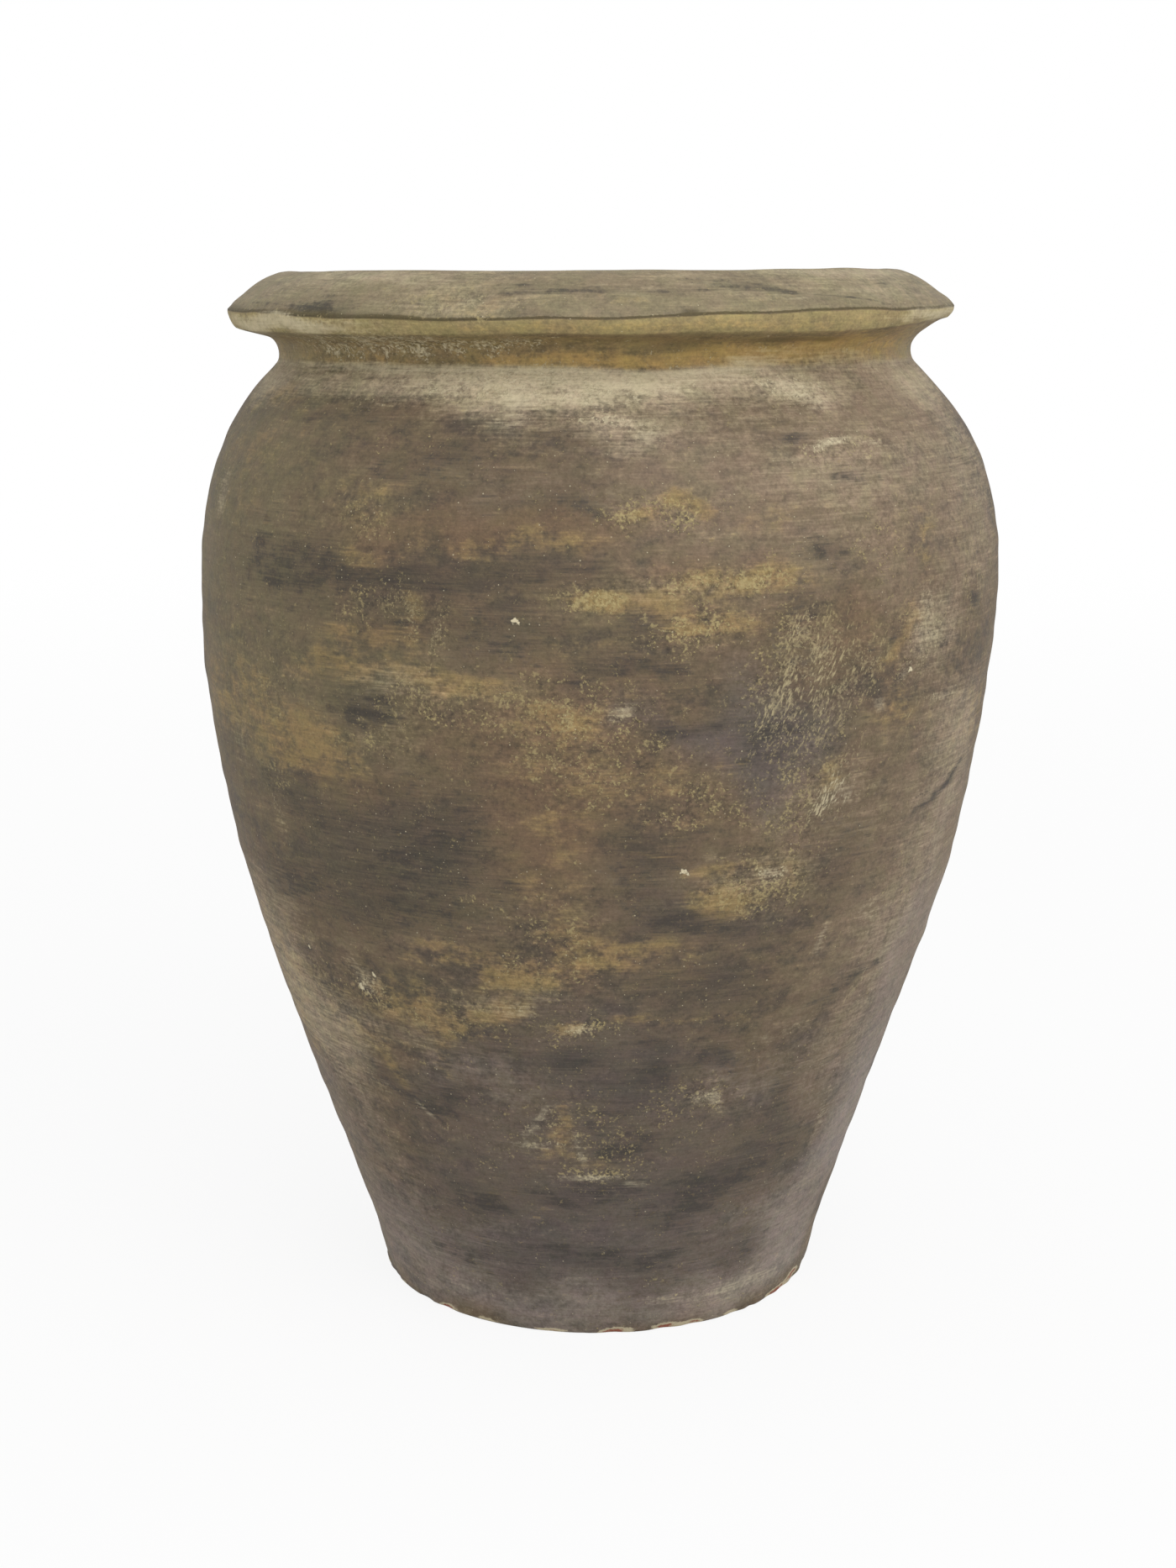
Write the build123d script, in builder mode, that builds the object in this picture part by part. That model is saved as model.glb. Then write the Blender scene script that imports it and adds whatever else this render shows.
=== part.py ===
from build123d import *
from math import cos, radians, sin, tan
import os

# A large olive jar of fired clay, raised in sections the way such jars are made: a floor slab with
# a coil pressed into its inner corner, four wall sections, a neck ring and a rim collar.
# Each section seats on the one below with a tongue in a groove, in the middle of the wall.
# Lengths are millimetres. Z is the jar's axis, and the origin is the middle of the face it stands on.

# The body's outside
foot_radius = 163.5
belly_radius = 291.5
belly_height = 535.0
shoulder_rise = 150.7
neck_radius = 228.0

# Thickness of the clay, measured along the radius
base_thickness = 28.0
foot_thickness = 22.0
wall_thickness = 18.0
neck_thickness = 20.0

# The underside, pushed up in its middle so that the jar stands on a ring
hollow_depth = 3.0
hollow_radius = 128.0
foot_edge_rounding = 3.0

# The foot, a band that is steeper than the wall above it
foot_band_height = 42.0
foot_band_share = 0.077

# Places along the wall from foot to belly, as shares of the widening and of the belly's height
foot_joint_share = (0.364, 0.28)
lower_joint_share = (0.810, 0.62)
wall_shares = (foot_joint_share, (0.615, 0.46), lower_joint_share, (0.944, 0.80))

# Places along the shoulder, as shares of the narrowing and of the rise, and its slope at the neck
neck_joint_share = (0.311, 0.628)
shoulder_shares = ((0.076, 0.334), neck_joint_share, (0.611, 0.823))
shoulder_lean = radians(42)

# The groove round the neck, and the underside of the lip that rises from it
groove_radius = 12.5
underside_rise = radians(15)

# The lip: an upright edge up to a crease, and a crowned slope from there to the top
lip_overhang = 32.5
lip_edge_height = 11.0
lip_edge_setback = 5.0
lip_edge_bulge = 1.2
lip_edge_rounding = 3.0
lip_slope_height = 28.0
lip_slope_width = 38.5
lip_crown = 4.6
mouth_rounding = 6.0

# The joint between two sections, with a tongue that narrows downwards
tongue_width = 9.0
tongue_tip_width = 4.0
tongue_depth = 3.5

# The coil in the inner corner, with a finger-worn face
coil_leg = 14.0
coil_hollow = 2.0

# How far a cutting outline runs past the clay
overrun = 20.0

# Radii and heights that follow, from the foot up
mouth_radius = neck_radius - neck_thickness
inner_foot_radius = foot_radius - foot_thickness
inner_belly_radius = belly_radius - wall_thickness
groove_middle = neck_radius + groove_radius
shoulder_top_radius = groove_middle - groove_radius * cos(shoulder_lean)
shoulder_top_height = belly_height + shoulder_rise
neck_height = shoulder_top_height + groove_radius * sin(shoulder_lean)
groove_top_radius = groove_middle - groove_radius * sin(underside_rise)
groove_top_height = neck_height + groove_radius * cos(underside_rise)
lip_radius = neck_radius + lip_overhang
underside_radius = lip_radius - lip_edge_setback
underside_height = groove_top_height + (underside_radius - groove_top_radius) * tan(underside_rise)
crease_height = underside_height + lip_edge_height
jar_height = crease_height + lip_slope_height
cut_radius = max(belly_radius, lip_radius) + overrun


def between(low, high, share):
    """The value that lies a share of the way from low to high."""
    return low + (high - low) * share


def band_place(foot, belly, height):
    """The point of the straight foot band at a height, on a wall face with these radii."""
    band_top_radius = between(foot, belly, foot_band_share)
    return (between(foot, band_top_radius, height / foot_band_height), height)


def wall_place(foot, belly, shares):
    """A point between foot and belly, on a wall face with these radii."""
    return (between(foot, belly, shares[0]), belly_height * shares[1])


def shoulder_place(belly, top, shares):
    """A point between belly and neck, on a wall face with these radii."""
    return (between(belly, top, shares[0]), belly_height + shoulder_rise * shares[1])


def wall_face(foot, belly, top, start_height, top_slope):
    """Draws one face of the wall, from start_height on the foot band to the top of the shoulder."""
    band_top = band_place(foot, belly, foot_band_height)
    wall = [wall_place(foot, belly, shares) for shares in wall_shares]
    widest = (belly, belly_height)
    shoulder = [shoulder_place(belly, top, shares) for shares in shoulder_shares]
    shoulder_top = (top, shoulder_top_height)
    flare = (wall[0][0] - band_top[0], wall[0][1] - band_top[1])
    upright = (0, 1)
    Line(band_place(foot, belly, start_height), band_top)
    Spline(band_top, *wall, widest, tangents=(flare, upright))
    Spline(widest, *shoulder, shoulder_top, tangents=(upright, top_slope))


# Half of the jar's section, cut through the clay from the axis to the rim
with BuildSketch(Plane.XZ) as clay:
    with BuildLine() as outline:
        # the underside, hollow in its middle
        hollow_top = (0, hollow_depth)
        hollow_edge = (hollow_radius, 0)
        SagittaArc(hollow_top, hollow_edge, hollow_depth / 4)
        Line(hollow_edge, (foot_radius, 0))
        # the outside of the wall
        shoulder_slope = (-sin(shoulder_lean), cos(shoulder_lean))
        wall_face(foot_radius, belly_radius, shoulder_top_radius, 0, shoulder_slope)
        # the neck and the lip
        shoulder_top = (shoulder_top_radius, shoulder_top_height)
        groove_top = (groove_top_radius, groove_top_height)
        underside_edge = (underside_radius, underside_height)
        crease = (lip_radius, crease_height)
        slope_top = (lip_radius - lip_slope_width, jar_height)
        ThreePointArc(shoulder_top, (neck_radius, neck_height), groove_top)
        Line(groove_top, underside_edge)
        SagittaArc(underside_edge, crease, -lip_edge_bulge)
        SagittaArc(crease, slope_top, -lip_crown)
        # the mouth, the inside of the wall and the floor
        rim_edge = (mouth_radius + mouth_rounding, jar_height)
        mouth_edge = (mouth_radius, jar_height - mouth_rounding)
        floor_edge = band_place(inner_foot_radius, inner_belly_radius, base_thickness)
        Line(slope_top, rim_edge)
        RadiusArc(mouth_edge, rim_edge, mouth_rounding)
        Line(mouth_edge, (mouth_radius, shoulder_top_height))
        wall_face(inner_foot_radius, inner_belly_radius, mouth_radius, base_thickness, (0, 1))
        Polyline(floor_edge, (0, base_thickness), hollow_top)
    make_face()
    fillet(clay.vertices().sort_by_distance((foot_radius, 0))[0], foot_edge_rounding)
    fillet(clay.vertices().sort_by_distance(underside_edge)[0], lip_edge_rounding)


def joint(outer, inner):
    """Where two sections meet: the middle of the wall between two places of one height."""
    return (between(inner[0], outer[0], 1 / 2), outer[1])


floor_joint = joint(band_place(foot_radius, belly_radius, base_thickness), floor_edge)
foot_joint = joint(
    wall_place(foot_radius, belly_radius, foot_joint_share),
    wall_place(inner_foot_radius, inner_belly_radius, foot_joint_share),
)
lower_joint = joint(
    wall_place(foot_radius, belly_radius, lower_joint_share),
    wall_place(inner_foot_radius, inner_belly_radius, lower_joint_share),
)
belly_joint = joint((belly_radius, belly_height), (inner_belly_radius, belly_height))
neck_joint = joint(
    shoulder_place(belly_radius, shoulder_top_radius, neck_joint_share),
    shoulder_place(inner_belly_radius, mouth_radius, neck_joint_share),
)
collar_joint = joint(shoulder_top, (mouth_radius, shoulder_top_height))


def above(joint_place, mode):
    """Keeps or takes away what lies above a joint, with the tongue that hangs into the groove."""
    middle, height = joint_place
    top = jar_height + overrun
    with BuildLine() as edge:
        Polyline(
            (0, height),
            (middle - tongue_width / 2, height),
            (middle - tongue_tip_width / 2, height - tongue_depth),
            (middle + tongue_tip_width / 2, height - tongue_depth),
            (middle + tongue_width / 2, height),
            (cut_radius, height),
            (cut_radius, top),
            (0, top),
            close=True,
        )
    make_face(edge.edges(), mode=mode)


os.makedirs("parts", exist_ok=True)

# The floor, a slab rolled out and trimmed to the foot
with BuildPart() as floor_slab:
    with BuildSketch(Plane.XZ):
        add(clay.sketch_local)
        above(floor_joint, Mode.SUBTRACT)
    revolve(axis=Axis.Z)
floor_slab.part.label = "floor_slab"
export_step(floor_slab.part, "parts/floor_slab.step")

# The coil that seals the corner between the floor and the wall
with BuildPart() as corner_coil:
    with BuildSketch(Plane.XZ):
        with BuildLine():
            coil_foot = (floor_edge[0] - coil_leg, base_thickness)
            coil_top = band_place(inner_foot_radius, inner_belly_radius, base_thickness + coil_leg)
            SagittaArc(coil_foot, coil_top, -coil_hollow)
            Polyline(coil_top, (foot_radius, coil_top[1]), (foot_radius, base_thickness), coil_foot)
        make_face()
        add(clay.sketch_local, mode=Mode.SUBTRACT)
    revolve(axis=Axis.Z)
corner_coil.part.label = "corner_coil"
export_step(corner_coil.part, "parts/corner_coil.step")

# The foot of the wall, standing on the slab
with BuildPart() as foot_wall:
    with BuildSketch(Plane.XZ):
        add(clay.sketch_local)
        above(floor_joint, Mode.INTERSECT)
        above(foot_joint, Mode.SUBTRACT)
    revolve(axis=Axis.Z)
foot_wall.part.label = "foot_wall"
export_step(foot_wall.part, "parts/foot_wall.step")

# The wall from the foot to the swelling of the body
with BuildPart() as lower_wall:
    with BuildSketch(Plane.XZ):
        add(clay.sketch_local)
        above(foot_joint, Mode.INTERSECT)
        above(lower_joint, Mode.SUBTRACT)
    revolve(axis=Axis.Z)
lower_wall.part.label = "lower_wall"
export_step(lower_wall.part, "parts/lower_wall.step")

# The wall up to the widest place
with BuildPart() as belly_wall:
    with BuildSketch(Plane.XZ):
        add(clay.sketch_local)
        above(lower_joint, Mode.INTERSECT)
        above(belly_joint, Mode.SUBTRACT)
    revolve(axis=Axis.Z)
belly_wall.part.label = "belly_wall"
export_step(belly_wall.part, "parts/belly_wall.step")

# The shoulder, which closes in from the widest place
with BuildPart() as shoulder_wall:
    with BuildSketch(Plane.XZ):
        add(clay.sketch_local)
        above(belly_joint, Mode.INTERSECT)
        above(neck_joint, Mode.SUBTRACT)
    revolve(axis=Axis.Z)
shoulder_wall.part.label = "shoulder_wall"
export_step(shoulder_wall.part, "parts/shoulder_wall.step")

# The ring at the top of the shoulder that the collar stands on
with BuildPart() as neck_ring:
    with BuildSketch(Plane.XZ):
        add(clay.sketch_local)
        above(neck_joint, Mode.INTERSECT)
        above(collar_joint, Mode.SUBTRACT)
    revolve(axis=Axis.Z)
neck_ring.part.label = "neck_ring"
export_step(neck_ring.part, "parts/neck_ring.step")

# The collar, with the neck's groove, the lip and the mouth
with BuildPart() as rim_collar:
    with BuildSketch(Plane.XZ):
        add(clay.sketch_local)
        above(collar_joint, Mode.INTERSECT)
    revolve(axis=Axis.Z)
rim_collar.part.label = "rim_collar"
export_step(rim_collar.part, "parts/rim_collar.step")
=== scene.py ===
"""An olive jar of patinated clay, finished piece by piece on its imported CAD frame."""

from math import ceil, cos, pi, radians, sin, sqrt

import bmesh
import bpy
import numpy as np
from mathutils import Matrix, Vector


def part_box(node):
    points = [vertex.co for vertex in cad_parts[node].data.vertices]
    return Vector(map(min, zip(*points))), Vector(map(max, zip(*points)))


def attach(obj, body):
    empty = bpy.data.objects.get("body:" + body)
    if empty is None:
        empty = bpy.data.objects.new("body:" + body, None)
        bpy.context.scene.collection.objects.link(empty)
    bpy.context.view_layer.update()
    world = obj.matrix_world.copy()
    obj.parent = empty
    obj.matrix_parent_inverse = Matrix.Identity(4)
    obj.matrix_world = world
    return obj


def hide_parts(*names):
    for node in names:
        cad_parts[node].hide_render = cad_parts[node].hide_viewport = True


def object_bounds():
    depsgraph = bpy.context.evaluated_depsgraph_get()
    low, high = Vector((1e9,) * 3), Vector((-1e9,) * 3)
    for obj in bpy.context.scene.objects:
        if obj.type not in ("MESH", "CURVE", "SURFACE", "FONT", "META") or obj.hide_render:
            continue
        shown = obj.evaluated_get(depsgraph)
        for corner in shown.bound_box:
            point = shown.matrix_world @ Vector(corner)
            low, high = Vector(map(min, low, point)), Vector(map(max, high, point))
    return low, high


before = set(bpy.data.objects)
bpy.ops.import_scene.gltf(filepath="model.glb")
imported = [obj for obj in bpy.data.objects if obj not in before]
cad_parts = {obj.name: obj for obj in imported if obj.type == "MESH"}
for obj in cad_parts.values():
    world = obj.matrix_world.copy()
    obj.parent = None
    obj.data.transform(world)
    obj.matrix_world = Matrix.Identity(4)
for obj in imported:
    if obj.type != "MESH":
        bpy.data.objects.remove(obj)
cad_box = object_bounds()

bl_info = {
    "name": "Olive Jar",
    "version": (1, 0, 0),
    "blender": (4, 5, 0),
    "location": "View3D > Sidebar > Olive Jar",
    "description": "Turns an olive jar from its half sections and gives it an aged patina",
    "category": "Object",
}

MM = 0.001
MERGE = 1e-6
JAR_HEIGHT = cad_box[1][2]
PATINATED = "Patinated clay"
BARE = "Bare clay"
STUDIO_FLOOR = "studio_floor"
FLOOR_PAINT = "Studio floor"

# A patch of finish is (degrees round from the front, height, half width, half height, strength in percent),
# with a sixth number, in degrees, where it leans. Lengths are millimetres. The same patches serve the jar's
# back, half a turn on.
SOOT_CLOUDS = (
    (-47, 565, 55, 25, 60), (-36, 567, 36, 9, 40, -6), (-26, 557, 25, 8, 80), (-15, 562, 55, 8, 50, 2),
    (-15, 523, 40, 18, 60, -4), (-28, 530, 25, 16, 50), (-20, 635, 35, 11, 50, -6), (-7, 648, 30, 5, 40),
    (-7, 608, 22, 6, 60), (-2, 602, 14, 5, 50), (-4, 572, 24, 6, 60, -4), (3, 536, 17, 11, 75),
    (-1, 505, 26, 11, 60), (6, 501, 19, 7, 45), (-31, 477, 24, 12, 95), (-38, 499, 17, 9, 40),
    (13, 476, 30, 9, 60, 14), (8, 465, 14, 11, 55, 45), (-28, 386, 56, 36, 60), (-29, 343, 55, 25, 60),
    (-19, 384, 26, 40, 45), (-46, 402, 50, 16, 60, -8), (-51, 342, 50, 22, 65), (7, 380, 30, 17, 60),
    (11, 337, 35, 12, 90, 4), (4, 352, 19, 10, 60), (10, 397, 28, 5, 50), (19, 328, 24, 7, 60),
    (14, 289, 38, 13, 50), (21, 279, 26, 8, 35), (-6, 268, 14, 10, 40, 40), (-3, 235, 20, 12, 95),
    (-26, 190, 24, 16, 70, -8), (-38, 196, 42, 7, 50, -18), (9, 223, 20, 28, 70), (22, 226, 21, 10, 90),
    (3, 200, 34, 20, 40), (36, 177, 22, 33, 75), (6, 161, 32, 14, 80), (27, 129, 50, 20, 70),
    (-3, 120, 46, 13, 75), (-25, 105, 17, 15, 80, -30), (20, 107, 36, 20, 80), (1, 67, 65, 13, 80),
    (-39, 67, 60, 16, 55, -8), (26, 46, 28, 7, 60, 10), (45, 271, 42, 6, 70, 12), (34, 376, 25, 42, 45),
    (58, 402, 52, 5, 85, 26), (30, 579, 22, 6, 60, -20), (25, 546, 22, 11, 50, -20),
    (35, 493, 22, 16, 50, -60), (24, 462, 38, 30, 45, -60), (-12, 360, 8, 6, 70), (39, 621, 45, 4, 45, 4),
    (27, 649, 26, 5, 50), (33, 571, 34, 10, 35), (-25, 623, 30, 9, 35, -20), (-40, 659, 52, 4, 40, -2),
    (64, 618, 50, 5, 35), (37, 64, 26, 13, 50), (-14, 544, 22, 2, 70, 2), (-46, 297, 11, 5, 70, 20),
    (-9, 176, 12, 5, 50, 30), (-48, 556, 50, 20, 42), (-35, 562, 16, 8, 35), (-34, 475, 26, 13, 50),
    (-52, 288, 11, 6, 80, 20), (25, 516, 30, 20, 45, -60), (24, 455, 20, 34, 15, -60),
    (-14, 240, 20, 24, 40), (42, 520, 16, 5, 70, 40), (60, 530, 14, 8, 50), (-33, 561, 20, 8, 70),
    (0, 180, 10, 5, 60),
)
RIM_SOOT = (
    (-44, 727, 40, 4, 95), (-43, 733, 12, 4, 75), (-57, 728, 30, 2, 40), (-4, 738, 40, 2, 80),
    (-11, 742, 20, 2, 50), (21, 741, 26, 3, 70, -6), (29, 737, 24, 2, 80, -12), (40, 731, 40, 1, 70, -8),
    (52, 740, 8, 3, 60), (14, 738, 32, 2, 40), (-25, 731, 40, 2, 40),
)
CHALK_BRUSHING = (
    (-12, 682, 80, 6, 85), (5, 680, 48, 6, 90), (-12, 670, 12, 9, 100), (-2, 671, 36, 5, 75),
    (-25, 679, 36, 5, 60), (31, 675, 25, 6, 85), (-54, 715, 90, 6, 120), (66, 716, 70, 7, 120),
    (30, 701, 36, 6, 40), (26, 692, 22, 4, 90), (46, 692, 70, 8, 60), (-12, 688, 60, 3, 80),
    (12, 687, 60, 3, 90), (-38, 689, 90, 4, 95), (34, 666, 16, 4, 60), (20, 683, 30, 4, 60),
    (9, 650, 15, 6, 75), (2, 658, 32, 4, 60), (34, 642, 20, 3, 100, 8), (43, 640, 16, 3, 60),
    (-13, 658, 16, 4, 55), (-35, 667, 34, 4, 40), (-60, 678, 74, 6, 45), (60, 630, 50, 20, 30, -50),
    (-20, 735, 22, 4, 20), (-14, 731, 20, 2, 25), (32, 731, 14, 2, 60), (53, 742, 32, 3, 20),
    (4, 477, 10, 6, 65, 10), (57, 470, 40, 5, 60), (50, 514, 18, 5, 50), (48, 534, 9, 18, 50),
    (45, 490, 10, 7, 60, 30), (-40, 272, 8, 6, 60, -30), (24, 364, 11, 5, 60), (40, 469, 6, 9, 70, 60),
    (32, 241, 26, 5, 50), (19, 197, 13, 6, 60), (-3, 135, 27, 3, 75), (6, 129, 12, 4, 75),
    (-11, 179, 5, 18, 70, -24), (-4, 158, 5, 18, 60, 6), (-10, 161, 14, 3, 70), (-32, 29, 46, 10, 40),
    (39, 25, 56, 9, 50), (15, 27, 20, 5, 50), (49, 155, 9, 25, 50), (-52, 385, 12, 26, 25),
    (36, 415, 8, 10, 60, 60), (-39, 191, 28, 2, 50, -20), (-31, 179, 20, 2, 55, -48),
    (-66, 599, 14, 16, 60), (45, 324, 14, 12, 50), (36, 308, 6, 16, 60), (-60, 434, 20, 30, 40),
    (-39, 280, 22, 9, 50, -35), (-11, 268, 13, 7, 60), (-2, 256, 12, 5, 60), (21, 195, 4, 16, 35, 8),
)
OCHRE_SLIP = (
    (-1, 452, 80, 30, 30), (9, 416, 44, 22, 30), (-11, 583, 50, 8, 60, 3), (-32, 604, 40, 18, 50),
    (17, 560, 60, 9, 90), (10, 536, 36, 15, 60, 8), (16, 532, 34, 11, 50), (-31, 518, 38, 10, 75),
    (-20, 495, 36, 10, 85), (-31, 498, 34, 10, 50), (21, 595, 32, 12, 35), (-42, 440, 44, 28, 75),
    (-40, 500, 40, 9, 60), (-22, 306, 34, 12, 60), (-60, 459, 60, 36, 60), (-8, 358, 28, 26, 50),
    (-6, 405, 22, 22, 45), (-1, 317, 50, 13, 60), (4, 303, 70, 26, 35), (-12, 293, 27, 11, 100),
    (-30, 266, 60, 18, 70), (-13, 265, 24, 10, 70), (-20, 251, 30, 9, 60), (-2, 551, 22, 8, 100),
    (6, 551, 20, 7, 75), (4, 600, 19, 5, 85, -4), (11, 604, 18, 8, 85), (-2, 478, 32, 12, 70),
    (18, 349, 20, 12, 90), (19, 369, 27, 5, 70), (26, 357, 13, 10, 50), (-2, 257, 14, 5, 80),
    (9, 262, 28, 5, 60), (22, 261, 26, 5, 50), (-43, 231, 60, 9, 50, -8), (-36, 205, 26, 5, 60, -36),
    (-24, 222, 8, 22, 55, -10), (-66, 264, 70, 50, 50), (-70, 203, 90, 28, 35), (8, 384, 20, 3, 60, -8),
    (45, 530, 20, 16, 50), (42, 509, 22, 9, 60, 30), (44, 462, 24, 18, 50), (33, 429, 17, 14, 60, 60),
    (-32, 573, 26, 7, 60), (-7, 171, 9, 28, 60, -14), (-1, 144, 23, 14, 50), (-26, 128, 42, 15, 25, -20),
    (-60, 619, 40, 30, 30), (21, 485, 18, 22, 25), (-25, 541, 6, 22, 60), (31, 735, 20, 4, 35),
    (-21, 734, 34, 9, 55), (4, 735, 26, 5, 40), (-6, 523, 32, 6, 45), (66, 443, 70, 30, 35),
    (-22, 680, 60, 8, 50), (-60, 668, 60, 10, 50), (50, 574, 12, 24, 50),
)
CRUST_FIELDS = (
    (-6, 477, 58, 28, 75), (5, 450, 42, 28, 50), (24, 483, 24, 42, 75), (32, 476, 52, 17, 75, 62),
    (27, 521, 25, 22, 95), (37, 495, 38, 13, 50, 60), (-2, 551, 23, 8, 100), (11, 529, 38, 16, 100, 10),
    (15, 561, 50, 8, 100), (5, 602, 36, 9, 90), (10, 598, 12, 9, 100), (-30, 544, 32, 14, 70),
    (-22, 527, 5, 18, 100), (-25, 528, 4, 12, 90), (-7, 303, 45, 20, 60), (-12, 678, 105, 10, 80),
    (-22, 731, 44, 10, 50), (-50, 719, 70, 3, 60), (-45, 702, 60, 6, 80), (-32, 705, 78, 6, 100),
    (-14, 706, 28, 4, 70), (23, 354, 32, 17, 85), (-1, 172, 52, 35, 50), (-1, 137, 28, 6, 100),
    (18, 199, 28, 15, 65), (29, 408, 40, 24, 65, 60), (2, 658, 32, 9, 75), (35, 642, 24, 4, 90, 6),
    (31, 674, 33, 7, 75), (-23, 479, 36, 12, 65), (-32, 458, 34, 15, 50), (-50, 411, 26, 15, 60),
    (16, 414, 40, 18, 65), (-2, 256, 28, 10, 65), (-20, 261, 36, 16, 50), (-38, 267, 17, 12, 80),
    (47, 512, 28, 28, 50), (-5, 428, 38, 22, 50), (-32, 594, 28, 14, 65), (-8, 334, 32, 20, 50),
    (36, 635, 36, 10, 55), (60, 538, 16, 32, 30), (-52, 480, 50, 40, 35), (-50, 268, 50, 30, 40),
    (40, 580, 40, 20, 40), (-30, 700, 60, 9, 40),
)
SPECK_FIELDS = (
    (-33, 561, 24, 12, 100), (3, 534, 18, 12, 90), (-22, 389, 55, 46, 70), (-7, 608, 30, 10, 80),
    (-1, 639, 46, 16, 60), (28, 579, 26, 14, 90), (-10, 492, 24, 13, 60), (14, 295, 46, 18, 90),
    (-1, 249, 28, 16, 60), (-24, 157, 60, 42, 35), (26, 455, 38, 34, 50), (17, 618, 66, 25, 50),
    (-13, 345, 50, 24, 40), (24, 543, 24, 16, 80), (-20, 590, 60, 30, 40), (5, 240, 60, 30, 40),
)
OLIVE_TINT = (
    (-56, 619, 105, 105, 70), (-48, 454, 90, 95, 65), (-70, 537, 105, 150, 60), (-29, 488, 90, 38, 60),
    (-11, 514, 64, 30, 40), (-1, 549, 46, 16, 50), (-32, 715, 120, 9, 90), (-42, 702, 110, 8, 100),
    (-40, 738, 130, 12, 85), (40, 738, 130, 12, 55), (-1, 710, 130, 6, 50), (-27, 600, 56, 26, 50),
    (-28, 269, 80, 26, 45), (-25, 352, 70, 36, 50), (-53, 685, 120, 10, 60), (-11, 290, 34, 15, 50),
    (23, 353, 32, 18, 40), (7, 239, 68, 26, 20),
)
# Pinkish brown, with painted light that makes the right side lighter
ROSE_AND_LIGHT_TINT = (
    (57, 619, 100, 85, 75), (67, 365, 150, 120, 80), (65, 282, 120, 80, 60), (16, 597, 110, 56, 55),
    (22, 637, 115, 30, 50), (18, 469, 52, 38, 40), (-64, 103, 120, 80, 40), (-65, 272, 76, 48, 40),
    (-27, 308, 38, 20, 40), (-16, 203, 72, 40, 30), (50, 686, 110, 24, 90), (33, 594, 82, 42, 50),
    (29, 408, 26, 34, 50), (48, 205, 30, 60, 50),
)
# Dark purple-brown low on the body: patina, with painted shade that darkens the lower body
PLUM_AND_SHADE_TINT = (
    (-1, 190, 125, 120, 60), (-1, 68, 170, 62, 75), (-27, 380, 76, 54, 30), (21, 457, 54, 45, 80),
    (13, 345, 68, 36, 35), (-16, 519, 44, 26, 30), (42, 183, 60, 90, 30), (12, 476, 36, 16, 50),
    (-7, 618, 64, 30, 25), (30, 430, 30, 50, 35),
)
# Pale dust, partly painted light on the shoulder and the right side
PALE_DUST_AND_LIGHT = (
    (-5, 688, 150, 4, 90), (-70, 680, 76, 18, 80), (70, 682, 76, 18, 70), (-12, 668, 40, 8, 40),
    (-9, 677, 108, 10, 95), (-1, 683, 136, 6, 95), (-4, 660, 90, 14, 35), (0, 738, 130, 11, 15),
    (50, 748, 120, 4, 50), (-40, 746, 80, 6, 50), (-25, 728, 40, 4, 30), (60, 736, 90, 10, 25),
    (66, 700, 90, 9, 50), (30, 675, 72, 9, 52), (-44, 678, 74, 7, 50), (64, 663, 90, 18, 25, -40),
    (-21, 735, 40, 6, 30), (40, 738, 78, 6, 20), (10, 742, 60, 5, 15), (-55, 738, 58, 7, 20),
    (64, 630, 92, 30, 25), (65, 572, 64, 50, 30), (50, 516, 30, 28, 50), (61, 443, 54, 38, 50),
    (60, 364, 64, 46, 35), (52, 299, 44, 44, 30), (47, 226, 38, 38, 30), (39, 23, 50, 12, 35),
    (-64, 311, 60, 36, 35), (-64, 247, 70, 48, 52), (-51, 208, 40, 38, 42), (-33, 242, 45, 18, 30),
    (18, 607, 108, 46, 12), (35, 625, 78, 36, 30), (-29, 465, 38, 22, 20), (-25, 493, 38, 11, 30),
    (9, 557, 58, 8, 25), (23, 362, 42, 14, 30), (43, 697, 76, 8, 20), (6, 650, 40, 12, 40),
    (-14, 276, 52, 18, 25), (35, 411, 45, 30, 20),
)
STROKE_FIELDS = (
    (30, 482, 54, 22, 70, 64), (28, 505, 40, 16, 55, 66), (37, 498, 40, 14, 60, 60),
    (35, 422, 40, 14, 65, 62), (26, 532, 20, 10, 60, 60), (-22, 527, 20, 5, 80, 84),
    (-25, 528, 16, 4, 70, 84), (-27, 542, 24, 13, 50, 40), (33, 415, 22, 8, 90, 66),
    (22, 470, 40, 16, 70, 62), (48, 517, 46, 9, 50, 80), (46, 455, 40, 10, 40, 70),
    (-9, 178, 20, 7, 60, -66), (-52, 390, 30, 8, 60, -70), (46, 260, 40, 10, 40, 40),
)
# Warm brown that shows through, and mauve dust low on the body
SIENNA_TINT = (
    (-9, 593, 70, 14, 80, 3), (-28, 584, 40, 16, 60), (-11, 509, 44, 14, 60), (-6, 422, 46, 40, 75),
    (12, 567, 50, 10, 60), (-20, 462, 60, 24, 50), (33, 519, 30, 30, 60), (18, 534, 40, 16, 50),
    (12, 440, 50, 40, 55), (-2, 478, 60, 24, 60), (-33, 420, 44, 16, 50), (-8, 380, 30, 40, 55),
    (24, 405, 44, 30, 40), (-2, 310, 70, 26, 45), (-30, 520, 40, 14, 50), (45, 700, 90, 10, 60),
    (26, 605, 60, 16, 40), (-40, 560, 30, 12, 30),
)
MAUVE_TINT = (
    (65, 151, 60, 85, 75), (50, 46, 46, 44, 65), (64, 290, 66, 60, 50), (-48, 50, 70, 46, 50),
    (0, 22, 180, 20, 50), (42, 22, 50, 16, 40), (14, 76, 110, 36, 20), (64, 400, 60, 50, 30),
    (-70, 150, 90, 90, 35), (-20, 215, 44, 22, 30), (30, 205, 40, 30, 30),
)
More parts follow.
